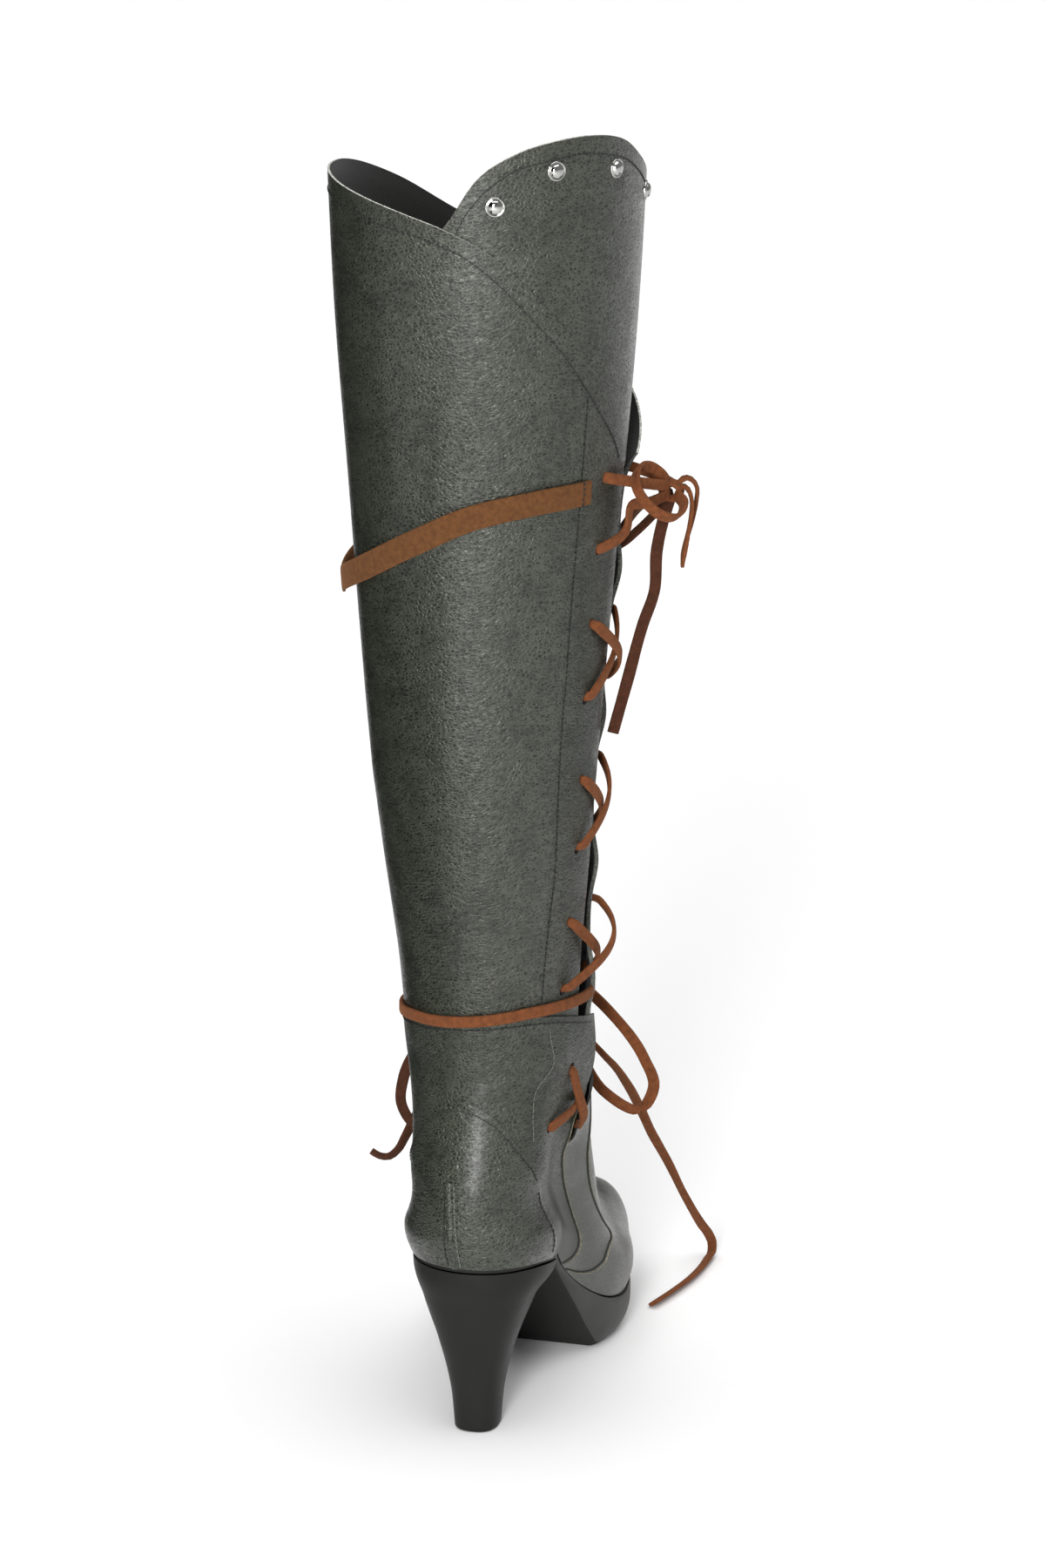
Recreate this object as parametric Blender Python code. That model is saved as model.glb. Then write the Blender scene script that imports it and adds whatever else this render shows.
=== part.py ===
"""Grey over-knee costume boot for the right foot, standing on its platform and heel.

Metres, +Z up, toe towards +Y, little-toe side towards +X. Shapes are worked out in the boot's own
frame, whose Y starts at the back of the heel counter, and each object is then moved to the origin
under the middle of the boot.
"""

import math
from typing import NamedTuple

import bmesh
import bpy
import numpy as np
from mathutils import Matrix, Vector

# Middle of the boot's box in its own frame
ORIGIN_X = 0.0017
ORIGIN_Y = 0.1036

# Wall, gaps and overlaps
WALL = 0.0020
SEAM_GAP = 0.0003
FEATHER_GAP = 0.0009
CURVE_GAP = 0.0005
SOLE_RIM = 0.0018

# Mesh steps
UPPER_COLUMNS = 40
SHAFT_ROWS = 16
TONGUE_COLUMNS = 16
TONGUE_STRIP_ROWS = 11
FLAP_ROWS = 9
SOLE_STATIONS = 40
HEEL_SIDES = 24
BAND_STEPS = 40


class Ring(NamedTuple):
    """Level section of the leg: an ellipse at a height."""
    height: float
    lean: float
    centre: float
    half_width: float
    half_depth: float


SHAFT = (
    Ring(0.178, 0.0000, 0.0655, 0.0410, 0.0532),
    Ring(0.221, 0.0000, 0.0580, 0.0426, 0.0518),
    Ring(0.268, 0.0000, 0.0490, 0.0463, 0.0530),
    Ring(0.316, 0.0000, 0.0440, 0.0504, 0.0562),
    Ring(0.380, 0.0000, 0.0450, 0.0558, 0.0612),
    Ring(0.444, 0.0004, 0.0460, 0.0608, 0.0660),
    Ring(0.514, 0.0016, 0.0430, 0.0660, 0.0705),
    Ring(0.610, 0.0022, 0.0430, 0.0704, 0.0745),
)
ANKLE = SHAFT[0].height
LEG_TOP = SHAFT[-1].height


class Step(NamedTuple):
    """One turn round the foot, from the feather line (0) up to the ankle (1)."""
    step: float
    back: float
    back_rise: float
    front: float
    front_rise: float
    swell: float
    slim: float
    level: float


FOOT = (
    Step(0.00, 0.0030, 0.0000, 0.2335, 0.0000, 1.00, 0.00, 0.00),
    Step(0.06, 0.0008, 0.0060, 0.2375, 0.0095, 1.07, 0.00, 0.00),
    Step(0.12, -0.0008, 0.0120, 0.2345, 0.0186, 1.08, 0.02, 0.00),
    Step(0.20, -0.0010, 0.0180, 0.2240, 0.0260, 1.01, 0.05, 0.03),
    Step(0.30, -0.0006, 0.0245, 0.2050, 0.0323, 0.94, 0.10, 0.06),
    Step(0.40, 0.0002, 0.0315, 0.1850, 0.0392, 0.91, 0.17, 0.12),
    Step(0.50, 0.0015, 0.0390, 0.1650, 0.0490, 0.92, 0.27, 0.22),
    Step(0.60, 0.0034, 0.0465, 0.1500, 0.0625, 0.93, 0.38, 0.35),
    Step(0.70, 0.0056, 0.0546, 0.1400, 0.0768, 0.91, 0.48, 0.50),
    Step(0.80, 0.0080, 0.0643, 0.1310, 0.0922, 0.90, 0.60, 0.66),
    Step(0.90, 0.0104, 0.0765, 0.1240, 0.1108, 0.91, 0.77, 0.84),
    Step(0.95, 0.0115, 0.0843, 0.1208, 0.1266, 0.94, 0.88, 0.92),
    Step(1.00, 0.0123, 0.0928, 0.1187, 0.1454, 1.00, 1.00, 1.00),
)


class Spread(NamedTuple):
    """Reach of the feather line to each side, along the foot from heel (0) to toe (1)."""
    along: float
    lateral: float
    medial: float


FEATHER = (
    Spread(0.00, 0.0580, 0.0580),
    Spread(0.12, 0.0475, 0.0475),
    Spread(0.36, 0.0245, 0.0235),
    Spread(0.63, 0.0394, 0.0445),
    Spread(0.88, 0.0400, 0.0446),
    Spread(1.00, 0.0500, 0.0500),
)


class Profile(NamedTuple):
    """Side view of the sole: top and underside heights along the foot."""
    along: float
    top: float
    under: float


SOLE = (
    Profile(0.000, 0.0860, 0.0770),
    Profile(0.030, 0.0830, 0.0730),
    Profile(0.050, 0.0780, 0.0680),
    Profile(0.070, 0.0700, 0.0605),
    Profile(0.085, 0.0600, 0.0510),
    Profile(0.100, 0.0470, 0.0360),
    Profile(0.115, 0.0350, 0.0160),
    Profile(0.130, 0.0260, 0.0000),
    Profile(0.145, 0.0215, 0.0000),
    Profile(0.160, 0.0200, 0.0000),
    Profile(0.190, 0.0200, 0.0000),
    Profile(0.205, 0.0208, 0.0000),
    Profile(0.220, 0.0230, 0.0025),
    Profile(0.239, 0.0275, 0.0090),
)


class Block(NamedTuple):
    """Section of the heel, from the tip (0) to the seat (1)."""
    up: float
    back: float
    front: float
    half_width: float


HEEL = (
    Block(0.00, 0.0170, 0.0400, 0.0101),
    Block(0.25, 0.0148, 0.0425, 0.0120),
    Block(0.53, 0.0100, 0.0490, 0.0175),
    Block(0.77, 0.0065, 0.0580, 0.0245),
    Block(0.92, 0.0045, 0.0680, 0.0275),
    Block(0.98, 0.0045, 0.0780, 0.0280),
)
SEAT_DEPTH = 0.0012
HEEL_SQUARENESS = 0.8

# Sole edge: how far it draws in towards the floor, and its section as shares of drop and draw-in
PLATFORM = 0.020
SOLE_TAPER = 0.0082
SOLE_TAPER_LIMIT = 0.5
SOLE_END = 86.0
SOLE_EDGE = ((0.0, 0.0), (0.35, -0.05), (0.9, 0.6), (1.0, 1.0))

# Insole inside the wall
INSOLE_MARGIN = 0.0036
INSOLE_THICK = 0.0020
INSOLE_END = 80.0


class Edge(NamedTuple):
    """Height of a cut edge round the leg, by the angle from the lateral side."""
    angle: float
    height: float


# Top of the wrap panel, from the front of the slit round the shin and calf to its back
WRAP_EDGE = (
    Edge(22.0, 0.4510),
    Edge(35.0, 0.4640),
    Edge(50.0, 0.4850),
    Edge(70.0, 0.5100),
    Edge(90.0, 0.5300),
    Edge(120.0, 0.5505),
    Edge(143.0, 0.5670),
    Edge(172.0, 0.5790),
    Edge(190.0, 0.5805),
    Edge(221.0, 0.5780),
    Edge(240.0, 0.5745),
    Edge(256.0, 0.5703),
    Edge(271.0, 0.5648),
    Edge(288.0, 0.5540),
    Edge(313.0, 0.5250),
    Edge(338.0, 0.4905),
    Edge(349.0, 0.4750),
    Edge(363.0, 0.4510),
)
# Top of the knee flap, from its hidden back corner to its hidden front corner
FLAP_EDGE = (
    Edge(-100.0, 0.5560),
    Edge(-89.0, 0.5665),
    Edge(-78.5, 0.5850),
    Edge(-63.5, 0.5970),
    Edge(-49.5, 0.6014),
    Edge(-36.0, 0.6024),
    Edge(-16.0, 0.5975),
    Edge(-5.0, 0.5900),
    Edge(18.0, 0.5740),
    Edge(35.0, 0.5575),
    Edge(50.0, 0.5365),
    Edge(63.0, 0.5030),
    Edge(72.0, 0.4850),
)


class Slit(NamedTuple):
    """Half gap of the lacing slit at a height."""
    height: float
    half_gap: float


SLIT_LINE = 0.060
SLIT_TOP = 0.451
SLIT_FOOT_STEP = 0.70
SLIT = (
    Slit(0.120, 0.0008),
    Slit(0.150, 0.0040),
    Slit(0.210, 0.0085),
    Slit(0.300, 0.0105),
    Slit(0.451, 0.0110),
)

# Tongue behind the slit
TONGUE_BOTTOM = 0.140
TONGUE_TOP = 0.450
TONGUE_HALF_WIDTH = 0.022
TONGUE_THICK = 0.0018

# Knee flap rivets
RIVET_RADIUS = 0.0043
RIVET_RISE = 0.0024
RIVETS = (Edge(-71.0, 0.5750), Edge(-49.0, 0.5890), Edge(-21.5, 0.5865), Edge(9.0, 0.5710))

# Calf band, alike on both sides of its lowest line at the medial side
BAND_WIDTH = 0.011
BAND_THICK = 0.0018
BAND_LOW_ANGLE = -165.0
BAND_REACH = 137.0
BAND_SLACK = 0.0045
BAND_SLACK_REACH = 55.0
BAND_LINE = (
    Edge(0.0, 0.3965),
    Edge(27.0, 0.4080),
    Edge(62.0, 0.4270),
    Edge(85.0, 0.4390),
    Edge(112.0, 0.4450),
    Edge(137.0, 0.4460),
)

# Lace and its holes
LACE_WIDTH = 0.0052
LACE_THICK = 0.0020
LACE_LIFT = 0.0017
LACE_STACK = 0.0007
HOLE_TOP = 0.449
HOLE_PITCH = 0.0341
ANKLE_WRAP_FRONT = 0.1955
ANKLE_WRAP_LIFT = 0.0065
ANKLE_WRAP_TILT = 0.0048
ANKLE_WRAP_GAP = 7.0


class Hole(NamedTuple):
    """Distances of a back and a front lace hole from the slit line, by their number from the top."""
    number: int
    back: float
    front: float


HOLES = (
    Hole(0, 0.0340, 0.0155),
    Hole(3, 0.0345, 0.0155),
    Hole(5, 0.0275, 0.0155),
    Hole(7, 0.0234, 0.0155),
    Hole(8, 0.0100, 0.0100),
    Hole(9, 0.0250, 0.0250),
)


class Crossing(NamedTuple):
    """Lace crossing below a pair of holes, and how far it stands off the slit."""
    name: str
    upper_hole: int
    bulge: float


CROSSINGS = (
    Crossing("lace_cross_1", 2, 0.0030),
    Crossing("lace_cross_2", 4, 0.0036),
    Crossing("lace_cross_3", 6, 0.0085),
    Crossing("lace_cross_low", 8, 0.0050),
)


# Bow knots, and the loops and tails that leave them
UPPER_KNOT = (0.0710, 0.0660, 0.4360)
UPPER_KNOT_SIZE = (0.0055, 0.0075, 0.0060)
KNOT_STRAND_LIFT = 0.0028
ANKLE_KNOT = (0.0, 0.1224, 0.1890)
ANKLE_KNOT_SIZE = (0.0085, 0.0050, 0.0085)


class Route(NamedTuple):
    """Free lace: its own points and the direction of its broad side."""
    name: str
    broad: tuple
    points: tuple


UPPER_BOW = (
    Route("upper_loop_a", (0.25, -0.55, 0.80), (
        (0.0725, 0.0640, 0.4436), (0.0735, 0.0560, 0.4480), (0.0700, 0.0480, 0.4480),
        (0.0685, 0.0415, 0.4415), (0.0700, 0.0405, 0.4330), (0.0755, 0.0440, 0.4265),
        (0.0820, 0.0510, 0.4280), (0.0835, 0.0570, 0.4345), (0.0785, 0.0620, 0.4365))),
    Route("upper_loop_b", (-0.31, 0.95, 0.0), (
        (0.0768, 0.0680, 0.4390), (0.0830, 0.0700, 0.4400), (0.0868, 0.0715, 0.4345),
        (0.0878, 0.0725, 0.4240), (0.0868, 0.0730, 0.4130), (0.0852, 0.0731, 0.4062),
        (0.0828, 0.0731, 0.4036), (0.0804, 0.0730, 0.4062), (0.0800, 0.0726, 0.4160),
        (0.0812, 0.0713, 0.4265), (0.0772, 0.0690, 0.4335))),
    Route("upper_tail_a", (0.95, 0.31, 0.0), (
        (0.0715, 0.0635, 0.4295), (0.0715, 0.0655, 0.4065), (0.0710, 0.0675, 0.3900),
        (0.0670, 0.0680, 0.3745), (0.0610, 0.0670, 0.3480), (0.0555, 0.0660, 0.3240))),
    Route("upper_tail_b", (0.60, 0.80, 0.0), (
        (0.0690, 0.0730, 0.4310), (0.0600, 0.0820, 0.4250), (0.0490, 0.0920, 0.4090),
        (0.0415, 0.0980, 0.3840), (0.0380, 0.0990, 0.3500), (0.0350, 0.0990, 0.3180))),
)
ANKLE_BOW = (
    Route("ankle_loop_lateral", (0.10, -0.70, 0.70), (
        (0.0088, 0.1226, 0.1958), (0.0240, 0.1300, 0.1800), (0.0350, 0.1320, 0.1690),
        (0.0515, 0.1340, 0.1463), (0.0564, 0.1330, 0.1337), (0.0514, 0.1290, 0.1231),
        (0.0353, 0.1240, 0.1315), (0.0240, 0.1220, 0.1500), (0.0155, 0.1220, 0.1720),
        (0.0106, 0.1212, 0.1885))),
    Route("ankle_tail_lateral", (0.80, -0.45, 0.40), (
        (0.0054, 0.1254, 0.1829), (0.0180, 0.1320, 0.1680), (0.0300, 0.1400, 0.1520),
        (0.0335, 0.1500, 0.1370), (0.0360, 0.1640, 0.1215), (0.0375, 0.1810, 0.1048),
        (0.0395, 0.1980, 0.0855), (0.0430, 0.2160, 0.0650), (0.0475, 0.2350, 0.0400),
        (0.0530, 0.2540, 0.0155), (0.0560, 0.2610, 0.0045), (0.0562, 0.2500, 0.0030),
        (0.0545, 0.2270, 0.0030), (0.0495, 0.2036, 0.0030), (0.0440, 0.1842, 0.0030))),
    Route("ankle_loop_medial", (-0.10, -0.70, 0.70), (
        (-0.0088, 0.1226, 0.1958), (-0.0300, 0.1310, 0.1770), (-0.0500, 0.1290, 0.1540),
        (-0.0605, 0.1220, 0.1280), (-0.0560, 0.1190, 0.1130), (-0.0440, 0.1190, 0.1220),
        (-0.0290, 0.1210, 0.1480), (-0.0165, 0.1220, 0.1720), (-0.0106, 0.1212, 0.1885))),
    Route("ankle_tail_medial", (-0.80, -0.45, 0.40), (
        (-0.0054, 0.1254, 0.1829), (-0.0250, 0.1350, 0.1580), (-0.0450, 0.1330, 0.1290),
        (-0.0640, 0.1290, 0.1010), (-0.0790, 0.1270, 0.0900))),
)
LACE_SPACING = 0.0090


class Finish(NamedTuple):
    """Plain look of a sub-part."""
    red: float
    green: float
    blue: float
    roughness: float
    metallic: float


GREY_LEATHER = Finish(0.105, 0.109, 0.098, 0.55, 0.0)
DARK_SOLE = Finish(0.024, 0.024, 0.022, 0.50, 0.0)
BLACK_LINING = Finish(0.020, 0.020, 0.018, 0.80, 0.0)
BROWN_SUEDE = Finish(0.150, 0.058, 0.023, 0.85, 0.0)
CHROME = Finish(0.75, 0.75, 0.75, 0.15, 1.0)


def smooth(rows, column, at):
    """Reads a table's column between its rows, as a smooth curve over its first column."""
    keys = np.array([row[0] for row in rows], float)
    values = np.array([getattr(row, column) for row in rows], float)
    slopes = np.gradient(values, keys)
    at = np.clip(np.asarray(at, float), keys[0], keys[-1])
    low = np.clip(np.searchsorted(keys, at, side="right") - 1, 0, len(keys) - 2)
    span = keys[low + 1] - keys[low]
    part = (at - keys[low]) / span
    start = (1 + 2 * part) * (1 - part) ** 2 * values[low] + part * (1 - part) ** 2 * span * slopes[low]
    end = part**2 * (3 - 2 * part) * values[low + 1] - part**2 * (1 - part) * span * slopes[low + 1]
    return start + end


def mix(first, second, part):
    """Goes from the first value to the second."""
    return first + (second - first) * part


def straight(rows, column, at):
    """Reads a table's column between its rows along straight lines."""
    return np.interp(at, [row[0] for row in rows], [getattr(row, column) for row in rows])


def leg_point(angle, height):
    """Point of the leg's outer surface."""
    turn = np.radians(angle)
    across = smooth(SHAFT, "lean", height) + smooth(SHAFT, "half_width", height) * np.cos(turn)
    along = smooth(SHAFT, "centre", height) + smooth(SHAFT, "half_depth", height) * np.sin(turn)
    return np.stack(np.broadcast_arrays(across, along, height), -1)


def foot_point(angle, step):
    """Point of the foot's outer surface."""
    turn = np.radians(angle)
    part = (1 + np.sin(turn)) / 2
    back = smooth(FOOT, "back", step)
    front = smooth(FOOT, "front", step)
    along = mix(back, front, part)
    reach = np.where(np.cos(turn) > 0, smooth(FEATHER, "lateral", part), smooth(FEATHER, "medial", part))
    reach = mix(reach * smooth(FOOT, "swell", step), SHAFT[0].half_width, smooth(FOOT, "slim", step))
    back_rise = smooth(FOOT, "back_rise", step) + FEATHER_GAP
    front_rise = smooth(FOOT, "front_rise", step) + FEATHER_GAP
    draped = straight(SOLE, "top", along) + mix(back_rise, front_rise, part)
    plane = mix(straight(SOLE, "top", back) + back_rise, straight(SOLE, "top", front) + front_rise, part)
    height = mix(draped, plane, smooth(FOOT, "level", step))
    return np.stack(np.broadcast_arrays(reach * np.cos(turn), along, height), -1)


def skin(angle, rise):
    """Point of the outer surface: rise 0 to 1 is the foot, 1 to 2 the leg."""
    angle, rise = np.broadcast_arrays(np.asarray(angle, float), np.asarray(rise, float))
    height = mix(ANKLE, LEG_TOP, np.clip(rise - 1, 0, None))
    on_leg = leg_point(angle, height)
    on_foot = foot_point(angle, np.clip(rise, 0, 1))
    return np.where((rise > 1)[..., None], on_leg, on_foot)


def skin_off(angle, rise, off):
    """Point that stands off the outer surface along its normal."""
    small_turn = 0.5
    small_rise = 0.01
    across = skin(angle + small_turn, rise) - skin(angle - small_turn, rise)
    upward = skin(angle, rise + small_rise) - skin(angle, rise - small_rise)
    normal = np.cross(across, upward)
    normal = normal / np.linalg.norm(normal, axis=-1, keepdims=True)
    return skin(angle, rise) + normal * np.asarray(off, float)[..., None]


def leg_rise(height):
    """Rise of a height on the leg."""
    return 1 + (np.asarray(height, float) - ANKLE) / (LEG_TOP - ANKLE)


def lateral_angle(along, rise):
    """Angle on the lateral side where the surface lies at a distance along the foot."""
    if rise > 1:
        height = mix(ANKLE, LEG_TOP, rise - 1)
        middle = smooth(SHAFT, "centre", height)
        half = smooth(SHAFT, "half_depth", height)
    else:
        back = smooth(FOOT, "back", rise)
        front = smooth(FOOT, "front", rise)
        middle = (front + back) / 2
        half = (front - back) / 2
    return math.degrees(math.asin((along - middle) / half))


def lateral_spot(along, height):
    """Angle and rise of a spot on the lateral side, given along the foot and by its height."""
    if height > ANKLE:
        rise = float(leg_rise(height))
        return lateral_angle(along, rise), rise
    low = 0.0
    high = 1.0
    for _ in range(30):
        middle = (low + high) / 2
        if skin(lateral_angle(along, middle), middle)[2] > height:
            high = middle
        else:
            low = middle
    return lateral_angle(along, middle), middle


def slit_angles(rise):
    """Angles of the slit's front and back edge."""
    if rise < SLIT_FOOT_STEP + 0.001:
        angle = lateral_angle(SLIT_LINE, rise)
        return angle, angle
    height = min(float(skin(lateral_angle(SLIT_LINE, rise), rise)[2]), SLIT_TOP)
    gap = smooth(SLIT, "half_gap", height)
    at = min(rise, float(leg_rise(SLIT_TOP)))
    return lateral_angle(SLIT_LINE + gap, at), lateral_angle(SLIT_LINE - gap, at)


def make_finish(name, finish):
    """Makes a plain material."""
    material = bpy.data.materials.new(name)
    material.use_nodes = True
    shader = material.node_tree.nodes["Principled BSDF"]
    shader.inputs["Base Color"].default_value = (finish.red, finish.green, finish.blue, 1)
    shader.inputs["Roughness"].default_value = finish.roughness
    shader.inputs["Metallic"].default_value = finish.metallic
    return material


def make_object(name, points, faces, finish):
    """Makes a smooth-shaded mesh object, moved from the boot's frame to the origin."""
    mesh = bpy.data.meshes.new(name)
    mesh.from_pydata([tuple(map(float, point)) for point in points], [], faces)
    mesh.materials.append(make_finish(name + "_finish", finish))
    mesh.shade_smooth()
    mesh.set_sharp_from_angle(angle=math.radians(40))
    made = bpy.data.objects.new(name, mesh)
    made.location = (-ORIGIN_X, -ORIGIN_Y, 0)
    bpy.context.scene.collection.objects.link(made)
    return made


def thicken(made, thickness):
    """Gives a sheet its thickness, towards its inside."""
    solid = made.modifiers.new("thickness", "SOLIDIFY")
    solid.thickness = thickness
    solid.offset = -1
    solid.use_even_offset = True


def join_to(made, helper):
    """Joins a helper solid into an object."""
    joined = made.modifiers.new("join_" + helper.name, "BOOLEAN")
    joined.operation = "UNION"
    joined.solver = "EXACT"
    joined.object = helper
    helper.hide_render = True
    helper.display_type = "WIRE"


def grid_faces(rows, columns, index):
    """Faces of a grid, with its corners numbered by a function of row and column."""
    faces = []
    for row in range(rows):
        for column in range(columns):
            corners = (index(row, column), index(row, column + 1), index(row + 1, column + 1),
                       index(row + 1, column))
            faces.append(corners)
    return faces


def make_upper():
    """Hollow foot and leg in one wall, open above, below and along the slit."""
    steps = [row.step for row in FOOT]
    points = []
    starts = []
    closed_rows = 0
    for step in steps:
        front, back = slit_angles(step)
        closed = step <= SLIT_FOOT_STEP
        closed_rows += closed
        count = UPPER_COLUMNS if closed else UPPER_COLUMNS + 1
        part = np.arange(count) / UPPER_COLUMNS
        starts.append(len(points))
        points.extend(skin(front + part * (360 + back - front), step))
    part = np.arange(UPPER_COLUMNS + 1) / UPPER_COLUMNS
    top_front, top_back = slit_angles(float(leg_rise(SLIT_TOP)))
    edge = smooth(WRAP_EDGE, "height", top_front + part * (360 + top_back - top_front))
    for row in range(1, SHAFT_ROWS + 1):
        starts.append(len(points))
        for share, top in zip(part, edge):
            rise = float(leg_rise(mix(ANKLE, top, row / SHAFT_ROWS)))
            front, back = slit_angles(rise)
            points.append(skin(front + share * (360 + back - front), rise))

    def index(row, column):
        if row < closed_rows:
            column %= UPPER_COLUMNS
        return starts[row] + column

    faces = grid_faces(len(starts) - 1, UPPER_COLUMNS, index)
    thicken(make_object("upper", points, faces, GREY_LEATHER), WALL)


def make_tongue():
    """Strip behind the slit that widens into the knee flap."""
    off = -(WALL + CURVE_GAP)
    part = np.arange(TONGUE_COLUMNS + 1) / TONGUE_COLUMNS
    points = []
    for height in np.linspace(TONGUE_BOTTOM, TONGUE_TOP, TONGUE_STRIP_ROWS + 1):
        for share in part:
            along = SLIT_LINE + (2 * share - 1) * TONGUE_HALF_WIDTH
            angle, rise = lateral_spot(along, height)
            points.append(skin_off(angle, rise, off))
    rise = float(leg_rise(TONGUE_TOP))
    across = SLIT_LINE + (2 * part - 1) * TONGUE_HALF_WIDTH
    low_angle = np.array([lateral_angle(along, rise) for along in across])
    top_angle = mix(FLAP_EDGE[0].angle, FLAP_EDGE[-1].angle, part)
    top_height = smooth(FLAP_EDGE, "height", top_angle)
    for row in range(1, FLAP_ROWS + 1):
        up = row / FLAP_ROWS
        points.extend(skin_off(mix(low_angle, top_angle, up), leg_rise(mix(TONGUE_TOP, top_height, up)), off))
    rows = TONGUE_STRIP_ROWS + FLAP_ROWS
    faces = grid_faces(rows, TONGUE_COLUMNS, lambda row, column: row * (TONGUE_COLUMNS + 1) + column)
    thicken(make_object("tongue", points, faces, GREY_LEATHER), TONGUE_THICK)


def loft(name, sections, finish):
    """Closed solid through sections of equal point counts, with flat ends."""
    count = len(sections[0])
    points = [point for section in sections for point in section]
    faces = []
    for row in range(len(sections) - 1):
        for side in range(count):
            near = row * count + side
            beside = row * count + (side + 1) % count
            faces.append((near, beside, beside + count, near + count))
    faces.append(tuple(reversed(range(count))))
    faces.append(tuple(range(len(points) - count, len(points))))
    return make_object(name, points, faces, finish)


def foot_spread(angle, margin):
    """Distance along the foot and reach to each side of the feather line, moved out by a margin."""
    turn = math.radians(angle)
    part = (1 + math.sin(turn)) / 2
    along = mix(FOOT[0].back - margin, FOOT[0].front + margin, part)
    ease = min(1.0, 2.5 * math.cos(turn))
    lateral = float(smooth(FEATHER, "lateral", part)) * math.cos(turn) + margin * ease
    medial = float(smooth(FEATHER, "medial", part)) * math.cos(turn) + margin * ease
    return along, lateral, medial


def square_off(value):
    """Draws a circle's coordinate out towards a rounded square."""
    return math.copysign(abs(value) ** HEEL_SQUARENESS, value)


def make_sole_unit():
    """Platform, waist and heel in one moulded piece."""
    sections = []
    for station in range(SOLE_STATIONS + 1):
        along, lateral, medial = foot_spread(mix(-SOLE_END, SOLE_END, station / SOLE_STATIONS), SOLE_RIM)
        top = float(straight(SOLE, "top", along))
        under = float(straight(SOLE, "under", along))
        taper = min(SOLE_TAPER * min(1.0, (top - under) / PLATFORM), SOLE_TAPER_LIMIT * lateral)
        edge = []
        for down, inward in SOLE_EDGE:
            edge.append((inward * taper, mix(top, under, down)))
        right = [(lateral - inward, along, height) for inward, height in edge]
        left = [(inward - medial, along, height) for inward, height in reversed(edge)]
        sections.append(right + left)
    sole = loft("sole_unit", sections, DARK_SOLE)
    levels = []
    for row in HEEL:
        middle = (row.back + row.front) / 2
        half = (row.front - row.back) / 2
        level = []
        for side in range(HEEL_SIDES):
            turn = 2 * math.pi * side / HEEL_SIDES
            across = row.half_width * square_off(math.cos(turn))
            along = middle + half * square_off(math.sin(turn))
            height = row.up * (float(straight(SOLE, "top", along)) - SEAT_DEPTH)
            level.append((across, along, height))
        levels.append(level)
    join_to(sole, loft("heel_helper", levels, DARK_SOLE))


def make_insole():
    """Thin sock that lies on the sole inside the upper."""
    sections = []
    for station in range(SOLE_STATIONS + 1):
        angle = mix(-INSOLE_END, INSOLE_END, station / SOLE_STATIONS)
        along, lateral, medial = foot_spread(angle, -INSOLE_MARGIN)
        low = float(straight(SOLE, "top", along)) + SEAM_GAP
        high = low + INSOLE_THICK
        right = ((lateral, along, high), (lateral, along, low))
        left = ((-medial, along, low), (-medial, along, high))
        sections.append(right + left)
    loft("insole", sections, BLACK_LINING)


def make_band():
    """Suede strap round the back of the leg, standing off where it hangs slack."""
    reach = np.linspace(-BAND_REACH, BAND_REACH, BAND_STEPS + 1)
    angle = BAND_LOW_ANGLE + reach
    slack = np.clip(1 - (reach / BAND_SLACK_REACH) ** 2, 0, 1) ** 2
    off = CURVE_GAP + BAND_THICK + BAND_SLACK * slack
    middle = smooth(BAND_LINE, "height", np.abs(reach))
    points = []
    for shift in (-0.5, 0.0, 0.5):
        points.extend(skin_off(angle, leg_rise(middle + shift * BAND_WIDTH), off))
    faces = grid_faces(2, BAND_STEPS, lambda row, column: row * (BAND_STEPS + 1) + column)
    thicken(make_object("calf_band", points, faces, BROWN_SUEDE), BAND_THICK)


def make_rivets():
    """Four dome rivets on the knee flap."""
    profile = ((1.0, 0.0), (1.0, 0.25), (0.82, 0.62), (0.5, 0.9), (0.2, 1.0))
    sides = 14
    for number, spot in enumerate(RIVETS, 1):
        rise = float(leg_rise(spot.height))
        seat = skin_off(spot.angle, rise, -(WALL + CURVE_GAP) + SEAM_GAP)
        normal = Vector(skin_off(spot.angle, rise, 1.0) - skin_off(spot.angle, rise, 0.0))
        turned = normal.to_track_quat("Z", "Y").to_matrix()
        sections = []
        for wide, high in profile:
            section = []
            for side in range(sides):
                turn = 2 * math.pi * side / sides
                local = Vector((wide * RIVET_RADIUS * math.cos(turn), wide * RIVET_RADIUS * math.sin(turn),
                                high * RIVET_RISE))
                section.append(Vector(seat) + turned @ local)
            sections.append(section)
        loft("rivet_%d" % number, sections, CHROME)


def curve_through(route, count):
    """Points at even steps on a smooth curve through a route's own points."""
    route = np.array(route, float)
    length = np.concatenate([[0], np.cumsum(np.linalg.norm(np.diff(route, axis=0), axis=1))])
    slopes = np.gradient(route, length, axis=0)
    at = np.linspace(0, length[-1], count)
    low = np.clip(np.searchsorted(length, at, side="right") - 1, 0, len(route) - 2)
    span = (length[low + 1] - length[low])[:, None]
    part = (at - length[low])[:, None] / span
    start = (1 + 2 * part) * (1 - part) ** 2 * route[low] + part * (1 - part) ** 2 * span * slopes[low]
    end = part**2 * (3 - 2 * part) * route[low + 1] - part**2 * (1 - part) * span * slopes[low + 1]
    return start + end


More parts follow.
